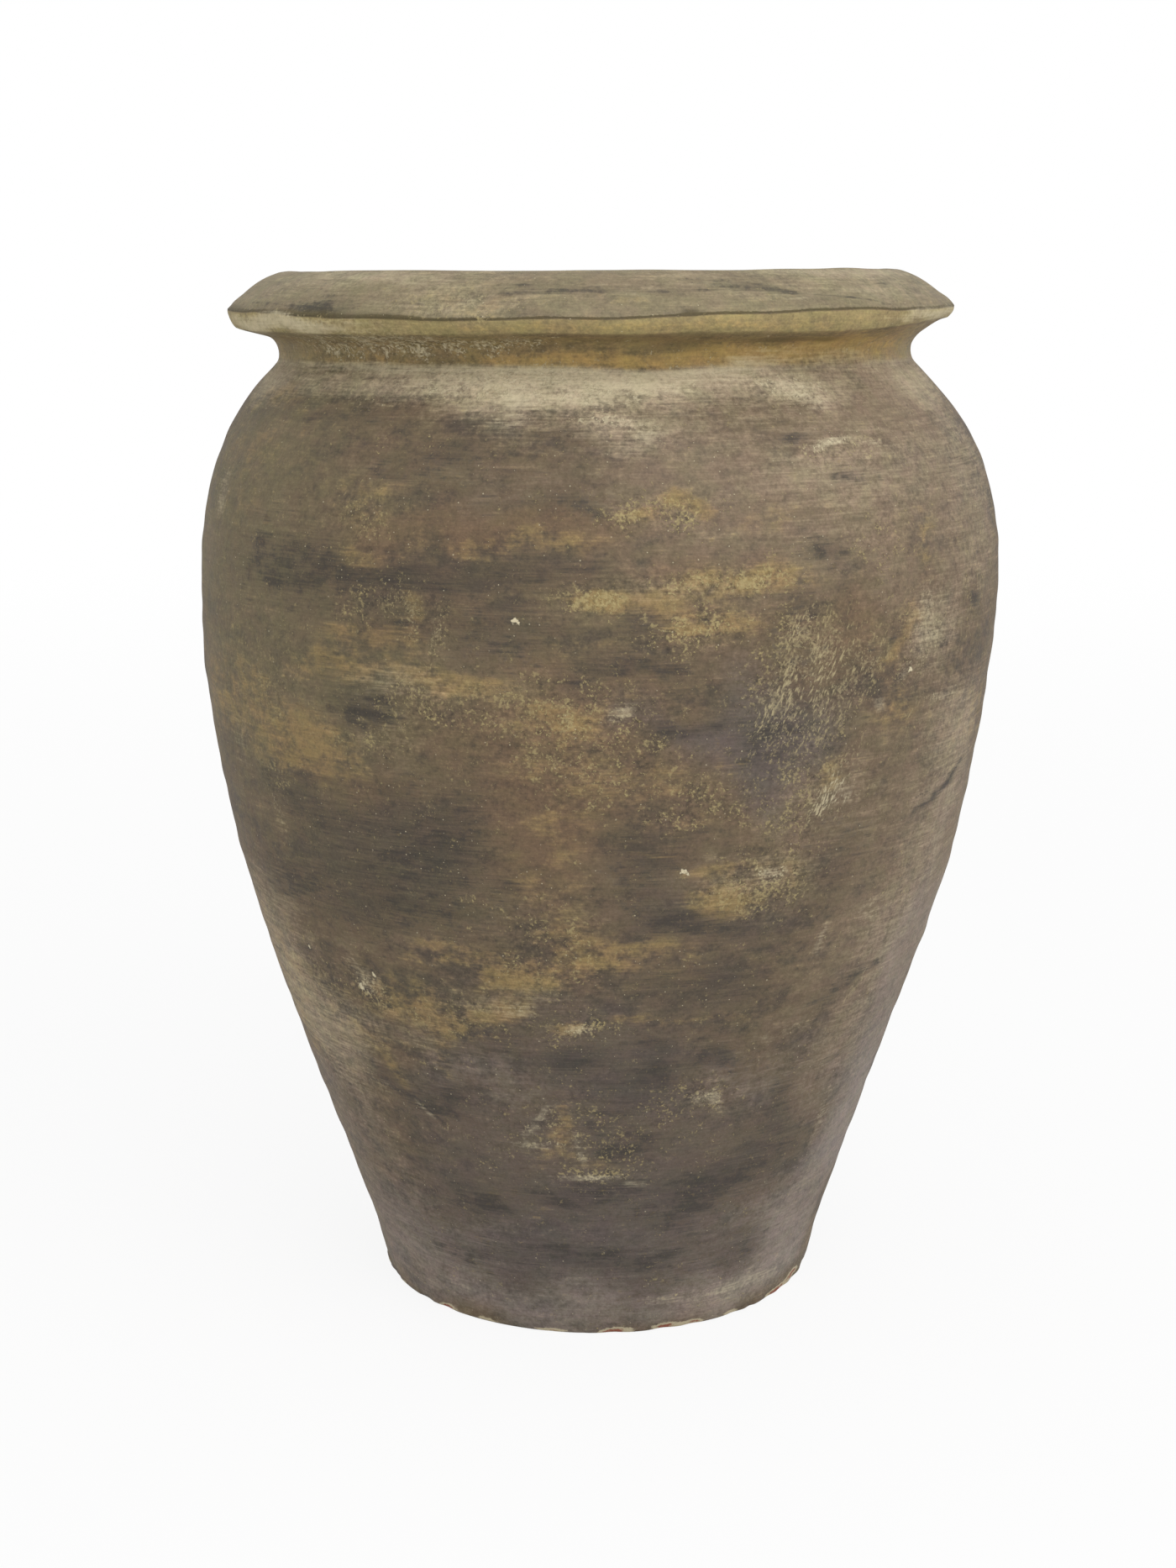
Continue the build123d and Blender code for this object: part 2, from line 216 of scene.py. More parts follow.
# The mustard slip in the groove round the neck
MUSTARD_SLIP = (
    (4, 694, 60, 5, 80), (24, 697, 50, 7, 85), (-14, 694, 40, 4, 50), (42, 700, 70, 8, 85),
    (62, 700, 50, 8, 40), (-45, 693, 60, 5, 30), (0, 716, 110, 4, 35), (30, 715, 60, 3, 30),
)
# Painted shade in the groove round the neck, under the lip, and the line of dirt and painted shadow along
# the lip's crease
GROOVE_SHADE = (
    (-65, 699, 26, 8, 40), (-20, 697, 86, 6, 25), (10, 706, 60, 3, 20), (14, 702, 26, 4, 50),
    (30, 707, 30, 2, 70), (40, 706, 14, 2, 60), (60, 708, 60, 2, 30),
)
# Dirt and painted shadow along the lip's crease
CREASE_DIRT_AND_SHADOW = (
    (-46, 723, 60, 2, 100), (-42, 725, 26, 4, 45), (-31, 722, 30, 2, 60), (-22, 721, 34, 2, 50),
    (-8, 722, 60, 1, 30), (14, 722, 40, 1, 30), (13.8, 723, 7, 3, 100), (36, 722, 60, 1, 30),
    (56, 723, 44, 2, 35), (76, 723, 50, 2, 70), (-72, 723, 40, 3, 80),
)
# Where the finish has come off the foot's edge
FOOT_WEAR = (
    (-43, 2, 10, 3, 100), (-30, 2, 12, 2, 60), (-12, 2, 14, 2, 70), (4, 2, 12, 4, 100), (17, 2, 12, 4, 100),
    (25, 2, 12, 3, 90), (38, 2, 10, 3, 70), (55, 2, 16, 4, 100), (64, 6, 12, 5, 100), (76, 3, 10, 3, 70),
    (-62, 2, 12, 2, 60), (-80, 2, 10, 3, 80),
)
# The layers of finish, with painted light and shade in some of them: the patches of each, and how far their
# edges wander, in millimetres
LAYERS = {
    "soot": ((SOOT_CLOUDS, 9), (RIM_SOOT, 4)),
    "dirt_and_shade": ((GROOVE_SHADE, 2), (CREASE_DIRT_AND_SHADOW, 1)),
    "chalk": ((CHALK_BRUSHING, 5),),
    "dust": ((PALE_DUST_AND_LIGHT, 6),),
    "ochre": ((OCHRE_SLIP, 9),),
    "crust": ((CRUST_FIELDS, 6),),
    "strokes": ((STROKE_FIELDS, 4),),
    "specks": ((SPECK_FIELDS, 9),),
    "olive": ((OLIVE_TINT, 20),),
    "rose_and_light": ((ROSE_AND_LIGHT_TINT, 20),),
    "plum_and_shade": ((PLUM_AND_SHADE_TINT, 20),),
    "sienna": ((SIENNA_TINT, 12),),
    "mauve": ((MAUVE_TINT, 20),),
    "mustard": ((MUSTARD_SLIP, 2),),
    "wear": ((FOOT_WEAR, 2),),
}
# How fast a patch fades towards its edge, how many half widths away nothing of it is left, and the half
# height in millimetres under which it wanders less up and down
FADE = 0.8
FADE_POWER = 1.3
PATCH_END = 2.4
THIN_PATCH = 8
# A dent is (degrees round from the front, height, half width, half height, depth), in millimetres
FOOT_CHIPS = (
    (-43, 0, 7, 4, 1.5), (4, 0, 8, 4, 1.6), (17, 0, 9, 5, 2.2), (25, 0, 7, 4, 1.4), (38, 0, 6, 3, 1.2),
    (52, 0, 9, 5, 1.4), (59, 2, 8, 6, 1.6), (66, 4, 8, 6, 1.6), (76, 0, 8, 5, 1.2), (-70, 0, 6, 4, 1.2),
)
SURFACE_DENTS = (
    (13.8, 723, 6, 4, 2.0), (-41, 722, 10, 3, 1.0), (-16, 721, 8, 3, 0.9), (44, 722, 9, 3, 0.8),
    (-60, 723, 7, 3, 1.0), (9, 464, 20, 12, 0.8), (45, 491, 8, 6, 0.9), (-52, 289, 8, 6, 0.9),
    (11, 372, 9, 7, 0.7), (34, 500, 30, 34, 0.8), (-20, 526, 24, 26, 0.6), (24, 560, 26, 20, 0.5),
    (-36, 283, 10, 8, 0.6), (-3, 200, 26, 30, 0.7),
)
# A flake is (degrees round from the front, height, size) of a spot where the finish has flaked to pale clay
FLAKES = (
    (-10.9, 536, 2.1), (-10.5, 534.6, 1.2), (11.7, 371, 2.3), (12.3, 369.2, 1.4), (11.2, 369.6, 1.1),
    (45.1, 492, 2.4), (-40.1, 269, 2.6), (-36.8, 281, 1.8), (-51.5, 289, 1.6),
)
# A scratch is (degrees, height) of both ends, and its width
SCRATCHES = (
    (-52.1, 291, -40.0, 281, 0.9), (50.8, 399, 64.0, 410, 1.0), (-46.0, 194, -34.4, 187, 1.6),
    (-34.4, 187, -29.1, 170, 1.6),
)
# How far the jar's middle strays to the right at a height, in millimetres
SWAY = (
    (0, 1.8), (140, 1.0), (250, 0.5), (400, 1.8), (450, 2.4), (540, 4.3), (620, 3.6), (680, 0.9),
    (700, -0.3), (730, -2.5),
)
# The uneven fields of the hand's work: wavelength in metres, seed and, where given, flatness
BROAD_SWELL = (0.19, 3, 0.8)
SMALL_RIPPLE = (0.055, 4, 1.4)
RING_WOBBLE = (0.35, 5)
CREASE_SWELL = (0.12, 6)
CREASE_NICKS = (0.03, 7)
FOOT_NIBBLES = (0.021, 8)
DRIFT_ACROSS = (0.09, 11)
DRIFT_UP = (0.07, 12)
# The rings that fingers left outside: how far apart in metres, how strong, and where they start
FINGER_RINGS = ((0.043, 0.5, 0.3), (0.027, 0.6, 2.1), (0.0185, 0.4, 4.0))
INNER_RING_STEP = 0.024
# The dip of the crease, by its bearing and width in degrees, and the jar's ovalness as a share of its radius
DIP_BEARING = -17
DIP_WIDTH = 9
OVALNESS = 0.0018
OVAL_BEARING = 40
# Corners of an outline that stay sharp, and edges of the mesh that do
CORNER_ANGLE = radians(22)
SHARP_ANGLE = radians(32)

# The patterns of the patina, which are broad, middle, small, tiny, drips and hues: size in millimetres,
# how level they lie, shift, detail and gain
PATTERNS = (
    (140, 1.7, 0.0, 3.0, 0.55),
    (42, 1.8, 7.0, 4.0, 0.6),
    (13, 1.5, 11.0, 4.0, 0.65),
    (3.6, 1.2, 13.0, 3.0, 0.65),
    (10, 0.22, 17.0, 4.0, 0.6),
    (18, 1.4, 29.0, 4.0, 0.6),
)
# Sizes of the finer patterns, in metres: brush lines, grit, specks, ragged edges and the bare clay
BROAD_BRUSH = 0.040
FINE_BRUSH = 0.028
GRIT = 0.0016
SPECK_SPACING = 0.0032
RAG_SIZE = 0.003
RAG_REACH = 0.006
CLAY_CLOUD = 0.11
CLAY_DUST = 0.02
CLAY_GRIT = 0.0022
# The sizes of crumbs and of their clusters, and the way that the drawn-out ones lean
CRUMB_CLUSTER = 0.011
COARSE_CRUMB = 0.0036
FINE_CRUMB = 0.0018
DRAWN_CRUMB = 0.0017
STROKE_WAY = (0.28, 0.16, 0.74)
# What the surface's colour is multiplied by where it turns towards rose, and where towards olive
HUE_OF_ROSE = (1.03, 0.985, 1.02, 1.0)
HUE_OF_OLIVE = (0.985, 1.02, 0.97, 1.0)
# The white of the floor and the sky, the sheen of the jar, and how rough its bare clay is
WHITE = (1.0, 1.0, 1.0, 1.0)
SHEEN = 0.35
BARE_ROUGHNESS = 0.9

# How shader nodes are set out
NODES_IN_COLUMN = 5
COLUMN_STEP = 190
ROW_STEP = 240
GROUP_END = (3000, 0)

# The soft lamp's size and place and what it points at, in metres, and the camera's sensor in millimetres
LAMP_SIZE = (2.2, 1.8)
LAMP_PLACE = (0.9, -1.8, 2.4)
LAMP_AIM = (0.0, 0.0, 0.4)
SENSOR_WIDTH = 36.0
# How white the camera sees the floor near the jar, and the distances between which it turns quite white
NEAR_WHITE = 0.88
NEAR_FLOOR = 0.4
FAR_FLOOR = 5.0


def paint(red, green, blue):
    """A colour as a painter's card gives it, from 0 to 255, turned to linear light by the sRGB curve."""
    shares = (red / 255, green / 255, blue / 255)
    return tuple(c / 12.92 if c < 0.04045 else ((c + 0.055) / 1.055) ** 2.4 for c in shares)


def colour_property(label, about, *card):
    """A colour that a user can change, as a painter's card gives it."""
    return bpy.props.FloatVectorProperty(
        name=label, description=about, default=paint(*card), subtype="COLOR", size=3, min=0.0, max=1.0
    )


def count_property(label, about, value, least, most):
    """A whole number that a user can change."""
    return bpy.props.IntProperty(name=label, description=about, default=value, min=least, max=most)


def number_property(label, about, value, **limits):
    """A number that a user can change."""
    return bpy.props.FloatProperty(name=label, description=about, default=value, **limits)


def length_property(label, about, value):
    """A length in metres that a user can change."""
    return number_property(label, about, value, unit="LENGTH", min=0.0, precision=4)


class JarShapeSettings(bpy.types.PropertyGroup):
    """Sizes of the turned meshes and of the marks that a hand leaves on them"""

    steps_round: count_property("Steps round", "Steps in which each piece is spun", 840, 60, 1200)
    wedges: count_property("Wedges", "Equal wedges that a piece is put together from", 28, 2, 60)
    outside_grain: length_property("Outside grain", "Height of a face on the outside of the wall", 2.8 * MM)
    rim_grain: length_property("Rim grain", "Height of a face on the rim and the foot's edge", 1.6 * MM)
    inside_grain: length_property("Inside grain", "Height of a face inside the jar", 8 * MM)
    swell: length_property("Swell", "Height of the broad unevenness of the wall", 0.7 * MM)
    ripple: length_property("Ripple", "Height of the small unevenness of the wall", 0.3 * MM)
    throwing_rings: length_property("Throwing rings", "Height of the rings that fingers left", 0.22 * MM)
    crease_wander: length_property("Crease wander", "How far the lip's crease wanders up and down", 0.6 * MM)
    crease_lift: length_property("Crease lift", "How much higher the crease runs at both sides", 2.6 * MM)
    crease_dip: length_property("Crease dip", "How far the crease dips left of the front", 1.6 * MM)
    underside_lift: length_property("Underside lift", "Rise of the lip's lower edge on the right", 6 * MM)
    rim_tilt: number_property("Rim tilt", "How the rim rises to the right", radians(0.25), unit="ROTATION")
    lip_thickening: length_property("Lip thickening", "How much further the left edge reaches", 1.6 * MM)


class JarColourSettings(bpy.types.PropertyGroup):
    """Colours of the clay and of the layers rubbed and brushed over it"""

    umber: colour_property("Umber", "Dark of the clouded ground", 82, 72, 60)
    walnut: colour_property("Walnut", "Middle brown of the clouded ground", 104, 89, 69)
    taupe: colour_property("Taupe", "Light of the clouded ground", 128, 112, 89)
    olive: colour_property("Olive", "Green-brown of the left side and the groove", 118, 109, 80)
    # Rose taupe: pinkish brown, with painted light that makes the right side lighter
    rose_and_light: colour_property("Rose taupe", "Pinkish brown of the right side", 135, 118, 97)
    fawn: colour_property("Fawn", "Smooth coat of the lip's slope", 141, 130, 102)
    ochre: colour_property("Ochre", "Yellow slip", 147, 124, 81)
    soot: colour_property("Soot", "Smoke stain", 58, 54, 50)
    chalk: colour_property("Chalk", "Pale dry brushing", 208, 196, 164)
    bone: colour_property("Bone", "Crumbs and specks of the pale coat", 206, 194, 162)
    # Dirt along the crease, with painted shadow there and painted shade in the groove
    dirt_and_shade: colour_property("Dirt", "Dirt in the crease and the groove", 82, 72, 46)
    # Plum: purple-brown patina, with painted shade that darkens the lower body
    plum_and_shade: colour_property("Plum", "Dark purple-brown of the lower body", 88, 81, 79)
    sienna: colour_property("Sienna", "Warm brown that shows through", 116, 94, 70)
    mauve: colour_property("Mauve", "Cool dust low on the body", 157, 146, 138)
    mustard: colour_property("Mustard", "Slip in the groove round the neck", 174, 145, 88)
    straw: colour_property("Straw", "Coat of the lip's edge, and crumbs of slip", 166, 149, 101)
    # Dust: pale dust, partly painted light on the shoulder and the right side
    dust: colour_property("Dust", "Pale dust rubbed over the shoulder and the right side", 190, 175, 146)
    terracotta: colour_property("Terracotta", "Fired clay under the finish", 138, 78, 58)
    inner_clay: colour_property("Inner clay", "Bare clay inside the jar", 144, 118, 94)


class JarStageSettings(bpy.types.PropertyGroup):
    """The floor, the light and the camera"""

    floor_shade: colour_property("Floor", "Colour of the floor and the backdrop", 238, 238, 238)
    floor_size: length_property("Floor size", "Length of the floor's side", 14.0)
    sky_light: number_property("Sky light", "Strength of the even light", 0.78, min=0.0)
    lamp_power: number_property("Lamp power", "Power of the soft lamp", 34.0, min=0.0, unit="POWER")
    camera_distance: length_property("Camera distance", "Distance of the camera from the jar's axis", 1.772)
    camera_height: length_property("Camera height", "Height of the camera over the floor", 0.75)
    camera_side: number_property("Camera side", "How far to the right it stands", -0.0047, unit="LENGTH")
    camera_pitch: number_property("Camera pitch", "How far it looks down", radians(12.08), unit="ROTATION")
    camera_lens: number_property("Lens", "Focal length in millimetres", 55.06)


# Outlines of the pieces


def half_section(node):
    """Halves a copy of a CAD node and returns its outline on the right as (radius, height) points."""
    cut = bmesh.new()
    cut.from_mesh(node.data)
    bmesh.ops.remove_doubles(cut, verts=cut.verts, dist=MERGE)
    for normal, clear_outer in (((0, 1, 0), True), ((1, 0, 0), False)):
        bmesh.ops.bisect_plane(
            cut,
            geom=cut.verts[:] + cut.edges[:] + cut.faces[:],
            dist=MERGE,
            plane_co=(0, 0, 0),
            plane_no=normal,
            clear_inner=True,
            clear_outer=clear_outer,
        )
    ends = [vert for vert in cut.verts if len(vert.link_edges) == 1]
    start = here = ends[0] if ends else cut.verts[:][0]
    came_by = None
    outline = []
    while True:
        outline.append((max(here.co.x, 0.0), here.co.z))
        onward = [edge for edge in here.link_edges if edge is not came_by]
        if not onward:
            break
        came_by = onward[0]
        here = came_by.other_vert(here)
        if here is start:
            break
    cut.free()
    return np.array(outline)


def wall_table(outlines):
    """The jar's outer and inner radius at every millimetre of its height."""
    heights = np.arange(0, JAR_HEIGHT + MM, MM)
    outer = np.zeros(len(heights))
    inner = np.full(len(heights), np.inf)
    for outline in outlines.values():
        for (r0, z0), (r1, z1) in zip(outline, np.roll(outline, -1, axis=0)):
            if abs(z1 - z0) < MERGE:
                continue
            rows = np.flatnonzero((heights >= min(z0, z1)) & (heights <= max(z0, z1)))
            radii = r0 + (r1 - r0) * (heights[rows] - z0) / (z1 - z0)
            outer[rows] = np.maximum(outer[rows], radii)
            inner[rows] = np.minimum(inner[rows], radii)
    known = np.isfinite(inner)
    return heights[known], outer[known], inner[known]


OUTLINES = {name: half_section(node) for name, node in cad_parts.items()}
HEIGHTS, OUTER_RADII, INNER_RADII = wall_table(OUTLINES)
NECK_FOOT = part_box("rim_collar")[0].z
FLOOR_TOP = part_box("floor_slab")[1].z
COLLAR = OUTLINES["rim_collar"]
MOUTH_RADIUS = float(COLLAR[:, 0].min())
LIP_RADIUS = float(COLLAR[:, 0].max())
LIP_CREASE = float(COLLAR[COLLAR[:, 0].argmax(), 1])
LIP_UNDERSIDE = float(COLLAR[COLLAR[:, 0] > LIP_RADIUS - 8 * MM, 1].min())


def is_open(outline):
    """Whether an outline starts and ends on the axis, and so doesn't close on itself."""
    return outline[0][0] < MERGE and outline[-1][0] < MERGE


def finer_outline(outline, shape):
    """The same outline with more points, on smooth curves between its corners."""
    ahead = np.roll(outline, -1, axis=0) - outline
    behind = outline - np.roll(outline, 1, axis=0)
    turn = np.arctan2(
        behind[:, 0] * ahead[:, 1] - behind[:, 1] * ahead[:, 0], (behind * ahead).sum(axis=1)
    )
    open_ended = is_open(outline)
    corners = [place for place in range(len(outline)) if abs(turn[place]) > CORNER_ANGLE]
    if open_ended:
        corners = sorted(set(corners) | {0, len(outline) - 1})
    else:
        outline = np.roll(outline, -corners[0], axis=0)
        corners = [place - corners[0] for place in corners] + [len(outline)]
        outline = np.vstack([outline, outline[:1]])
    finer = [outline[0]]
    for first, last in zip(corners, corners[1:]):
        finer.extend(finer_run(outline[first : last + 1], shape)[1:])
    return finer if open_ended else finer[:-1]


def finer_run(run, shape):
    """A stretch between two corners with points close together, on a smooth curve through its own."""
    chords = np.hypot(*np.diff(run, axis=0).T)
    along = np.concatenate([[0], np.cumsum(chords)])
    places = [0.0]
    for left, right, start, chord in zip(run, run[1:], along, chords):
        pieces = ceil(chord / grain_at((left + right) / 2, chord, shape) - 0.01)
        places.extend(start + chord * (step + 1) / pieces for step in range(pieces))
    places = np.array(places)
    if len(run) < 3:
        share = (places / along[-1])[:, None]
        return run[0] + (run[1] - run[0]) * share
    slopes = np.empty_like(run)
    slopes[1:-1] = (run[2:] - run[:-2]) / (along[2:] - along[:-2])[:, None]
    slopes[0] = 2 * (run[1] - run[0]) / chords[0] - slopes[1]
    slopes[-1] = 2 * (run[-1] - run[-2]) / chords[-1] - slopes[-2]
    left = np.clip(np.searchsorted(along, places) - 1, 0, len(chords) - 1)
    share = ((places - along[left]) / chords[left])[:, None]
    span = chords[left][:, None]
    rise = 3 * share**2 - 2 * share**3
    bend = slopes[left] * (1 - share) - slopes[left + 1] * share
    return run[left] + (run[left + 1] - run[left]) * rise + bend * span * share * (1 - share)


def grain_at(place, chord, shape):
    """How far apart the outline's points are at a place: close outside, wide inside and in the joints."""
    radius, height = place
    outside = radius > np.interp(height, HEIGHTS, OUTER_RADII) - MM
    if height > NECK_FOOT + 4 * MM and radius > MOUTH_RADIUS + MM:
        return shape.rim_grain
    if not outside or height < MM / 2:
        return shape.inside_grain
    return shape.rim_grain if height < FLOOR_TOP / 2 else shape.outside_grain


# The hand's marks on the shape


def ease(value, low, high):
    """0 up to low, 1 from high on, and a smooth rise between them."""
    share = np.clip((value - low) / (high - low), 0, 1)
    return share * share * (3 - 2 * share)


def rolling(places, wavelength, seed, flatness=1.0):
    """A smooth uneven field, about -1 to 1, with its hills a wavelength apart."""
    dice = np.random.default_rng(seed)
    field = np.zeros(len(places))
    for _ in range(20):
        way = dice.normal(size=3)
        way *= 2 * pi / wavelength * dice.uniform(0.7, 1.3) / np.linalg.norm(way)
        way[2] *= flatness
        field += np.cos(places @ way + dice.uniform(0, 2 * pi))
    return field / sqrt(20)


def around(places):
    """Degrees round from the front, positive to the right, and the radius."""
    return np.degrees(np.arctan2(places[:, 0], -places[:, 1])), np.hypot(places[:, 0], places[:, 1])


def off_bearing(degrees, turn):
    """Degrees away from a bearing or from the one opposite, whichever is nearer."""
    return (degrees - turn + 90) % 180 - 90


def bump_field(places, dents):
    """How deep a list of dents reaches at each place."""
    degrees, radius = around(places)
    depth = np.zeros(len(places))
    for turn, height, half_width, half_height, reach in dents:
        off = off_bearing(degrees, turn)
        level = np.abs(places[:, 2] - height * MM) < half_height * 4 * MM
        near = np.flatnonzero((np.abs(off) < 25) & level)
        across = np.radians(off[near]) * radius[near] / (half_width * MM)
        up = (places[near, 2] - height * MM) / (half_height * MM)
        depth[near] += reach * MM * np.exp(-(across**2 + up**2))
    return depth


def wall_share(places):
    """0 on the inside of the wall, 1 on the outside."""
    radius = np.hypot(places[:, 0], places[:, 1])
    outer = np.interp(places[:, 2], HEIGHTS, OUTER_RADII)
    inner = np.interp(places[:, 2], HEIGHTS, INNER_RADII)
    return np.clip((radius - inner) / np.maximum(outer - inner, MM), 0, 1)


def worked_by_hand(places, shape):
    """Where each place of the true shape goes on a jar that was raised and leaned on by hand."""
    height = places[:, 2]
    degrees, radius = around(places)
    share = wall_share(places)
    on_outside = ease(share, 0.5, 1.0)
    above_floor = ease(height, 0.0, 12 * MM)
    on_lip = ease(height, NECK_FOOT + 8 * MM, NECK_FOOT + 26 * MM)
    # the wall: broad swells, small ripples and rings
    swell = shape.swell * rolling(places, *BROAD_SWELL) + shape.ripple * rolling(places, *SMALL_RIPPLE)
    wobble = 1.5 * rolling(places, *RING_WOBBLE)
    rings = sum(
        size * np.cos(2 * pi * height / step + wobble + start)
        for step, size, start in FINGER_RINGS
    )
    spiral = (height - degrees / 360 * INNER_RING_STEP) / INNER_RING_STEP
    inner_rings = np.cos(2 * pi * spiral + 0.6 * wobble)
    push = (swell + shape.throwing_rings * rings) * on_outside
    inner_push = 0.6 * swell - 0.5 * MM * inner_rings * above_floor
    push += inner_push * (1 - on_outside) * ease(height, FLOOR_TOP, 60 * MM)
    push *= above_floor
    push -= bump_field(places, SURFACE_DENTS) * on_outside
    near_foot = (1 - ease(height, 3 * MM, 13 * MM)) * on_outside
    chips = bump_field(places, FOOT_CHIPS)
    nibbles = np.maximum(rolling(places, *FOOT_NIBBLES) - 0.55, 0) * 1.6 * MM
    push -= (chips + nibbles) * near_foot
    # outward from the axis on the body, outward from the middle of the lip on the rim
    outward = places[:, :2] / np.maximum(radius, MM)[:, None]
    lip_middle = ((MOUTH_RADIUS + LIP_RADIUS) / 2, JAR_HEIGHT - 28 * MM)
    across, up = radius - lip_middle[0], height - lip_middle[1]
    reach = np.maximum(np.hypot(across, up), MM)
    side_push = push * (1 + (across / reach - 1) * on_lip)
    rise = push * (up / reach) * on_lip
    # the rim: tilted, with a fuller edge on the left, a thinner one on the right, and a crease
    # that wanders
    rightward = places[:, 0] / np.maximum(radius, MM)
    at_edge = ease(radius, LIP_RADIUS - 32 * MM, LIP_RADIUS - 8 * MM) * on_lip
    below_crease = 1 - ease(height, LIP_UNDERSIDE, LIP_CREASE)
    on_edge = at_edge * (1 - ease(height, LIP_CREASE - 2 * MM, LIP_CREASE + 3 * MM))
    side_push += shape.lip_thickening * on_edge * ease(-rightward, 0.4, 1.0)
    rise += shape.underside_lift * at_edge * below_crease * ease(rightward, 0.55, 1.0)
    at_crease = ease(radius, LIP_RADIUS - 12 * MM, LIP_RADIUS) * on_lip
    crease_path = shape.crease_lift * ease(np.abs(rightward + 0.08), 0.5, 0.8)
    crease_path += 0.4 * shape.crease_lift * (ease(rightward, 0.05, 0.35) - ease(rightward, 0.7, 0.95))
    crease_path -= shape.crease_dip * np.exp(-(((degrees - DIP_BEARING) / DIP_WIDTH) ** 2))
    rise += crease_path * at_crease * (1 - below_crease)
    wander = rolling(places, *CREASE_SWELL) + 0.4 * rolling(places, *CREASE_NICKS)
    rise += shape.crease_wander * wander * at_crease
    rise += sin(shape.rim_tilt) * places[:, 0] * ease(height, NECK_FOOT - 25 * MM, NECK_FOOT + 35 * MM)
    # the whole jar: a little oval, and leaning to and fro
    oval = OVALNESS * np.cos(np.radians(2 * degrees - OVAL_BEARING) + 3 * height)
    side_push += radius * oval * above_floor * ease(radius, 0.02, 0.12)
    sway_heights, sways = zip(*SWAY)
    moved = places.copy()
    moved[:, :2] += outward * side_push[:, None]
    moved[:, 0] += smooth_between(height / MM, sway_heights, sways) * MM
    moved[:, 2] = np.maximum(height + rise, 0.0)
    return moved


def smooth_between(value, stops, levels):
    """The level at a value, with a smooth rise from each stop to the next."""
    level = np.full(len(value), float(levels[0]))
    for low, high, before, after in zip(stops, stops[1:], levels, levels[1:]):
        level += (after - before) * ease(value, low, high)
    return level


# Where each layer of finish lies


def bare_share(places, patches, drift):
    """How much of each place the patches of a layer leave bare, from 0 to 1, with edges that wander."""
    degrees, radius = around(places)
    shift_across = drift * rolling(places, *DRIFT_ACROSS)
    shift_up = 0.5 * drift * rolling(places, *DRIFT_UP)
    bare = np.ones(len(places))
    for turn, height, half_width, half_height, strength, *lean in patches:
        off = off_bearing(degrees, turn)
        reach = PATCH_END * max(half_width, half_height) * MM + 3 * drift
        level = np.abs(places[:, 2] - height * MM) < reach
        near = np.flatnonzero((np.abs(np.radians(off)) * radius < reach) & level)
        across = np.radians(off[near]) * radius[near] + shift_across[near]
        up = places[near, 2] - height * MM + shift_up[near] * min(1, half_height / THIN_PATCH)
        slope = radians(lean[0]) if lean else 0.0
        along = (across * cos(slope) + up * sin(slope)) / (half_width * MM)
        aside = (up * cos(slope) - across * sin(slope)) / (half_height * MM)
        bare[near] *= 1 - strength / 100 * np.exp(-FADE * (along**2 + aside**2) ** FADE_POWER)
    return bare


def lay_finish(mesh, places):
    """Writes each layer of finish on the mesh as an attribute for the materials."""
    values = {}
    for name, parts in LAYERS.items():
        bare = np.ones(len(places))
        for patches, drift in parts:
            bare *= bare_share(places, patches, drift * MM)
        values[name] = 1 - bare
    on_top = ease(places[:, 2], JAR_HEIGHT - 3 * MM, JAR_HEIGHT)
    values["outside"] = np.maximum(ease(wall_share(places), 0.5, 0.9), on_top)
    values["height"] = places[:, 2]
    for name, value in values.items():
        attribute = mesh.attributes.new(name, "FLOAT", "POINT")
        attribute.data.foreach_set("value", value.astype(np.float32))


def spin_round(turned, geometry, share, steps, copies):
    """Spins geometry through a share of a turn, as one skin or as separate copies."""
    bmesh.ops.spin(
        turned,
        geom=geometry,
        cent=(0, 0, 0),
        axis=(0, 0, 1),
        dvec=(0, 0, 0),
        angle=2 * pi * share,
        steps=steps,
        use_merge=False,
        use_duplicate=copies,
    )


def built_mesh(name, build):
    """The mesh of what was built with bmesh, which is freed."""
    mesh = bpy.data.meshes.new(name)
    build.to_mesh(mesh)
    build.free()
    return mesh


def add_object(name, data):
    """A new object in the scene for a mesh, a light or a camera."""
    thing = bpy.data.objects.new(name, data)
    bpy.context.scene.collection.objects.link(thing)
    return thing


def turned_mesh(name, outline, shape):
    """A mesh spun from an outline: one wedge, then copies of it round the rest of the turn."""
    turned = bmesh.new()
    verts = [turned.verts.new((radius, 0, height)) for radius, height in outline]
    onward = verts[1:] if is_open(outline) else verts[1:] + verts[:1]
    edges = [turned.edges.new(pair) for pair in zip(verts, onward)]
    spin_round(turned, verts + edges, 1 / shape.wedges, shape.steps_round // shape.wedges, False)
    wedge = turned.verts[:] + turned.edges[:] + turned.faces[:]
    spin_round(turned, wedge, 1 - 1 / shape.wedges, shape.wedges - 1, True)
    bmesh.ops.remove_doubles(turned, verts=turned.verts, dist=MERGE)
    bmesh.ops.recalc_face_normals(turned, faces=turned.faces)
    return built_mesh(name, turned)


def turn_piece(node_name, material):
    """Makes one piece of the jar from its node's outline, works it by hand and lays its finish."""
    shape = bpy.context.scene.jar_shape
    name = node_name + "_clay"
    mesh = turned_mesh(name, finer_outline(OUTLINES[node_name], shape), shape)
    places = np.empty(len(mesh.vertices) * 3, np.float32)
    mesh.vertices.foreach_get("co", places)
    places = places.reshape(-1, 3).astype(float)
    lay_finish(mesh, places)
    mesh.vertices.foreach_set("co", worked_by_hand(places, shape).astype(np.float32).ravel())
    mesh.shade_smooth()
    mesh.set_sharp_from_angle(angle=SHARP_ANGLE)
    mesh.materials.append(material)
    piece = add_object(name, mesh)
    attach(piece, "root")
    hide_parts(node_name)


# Shader nodes


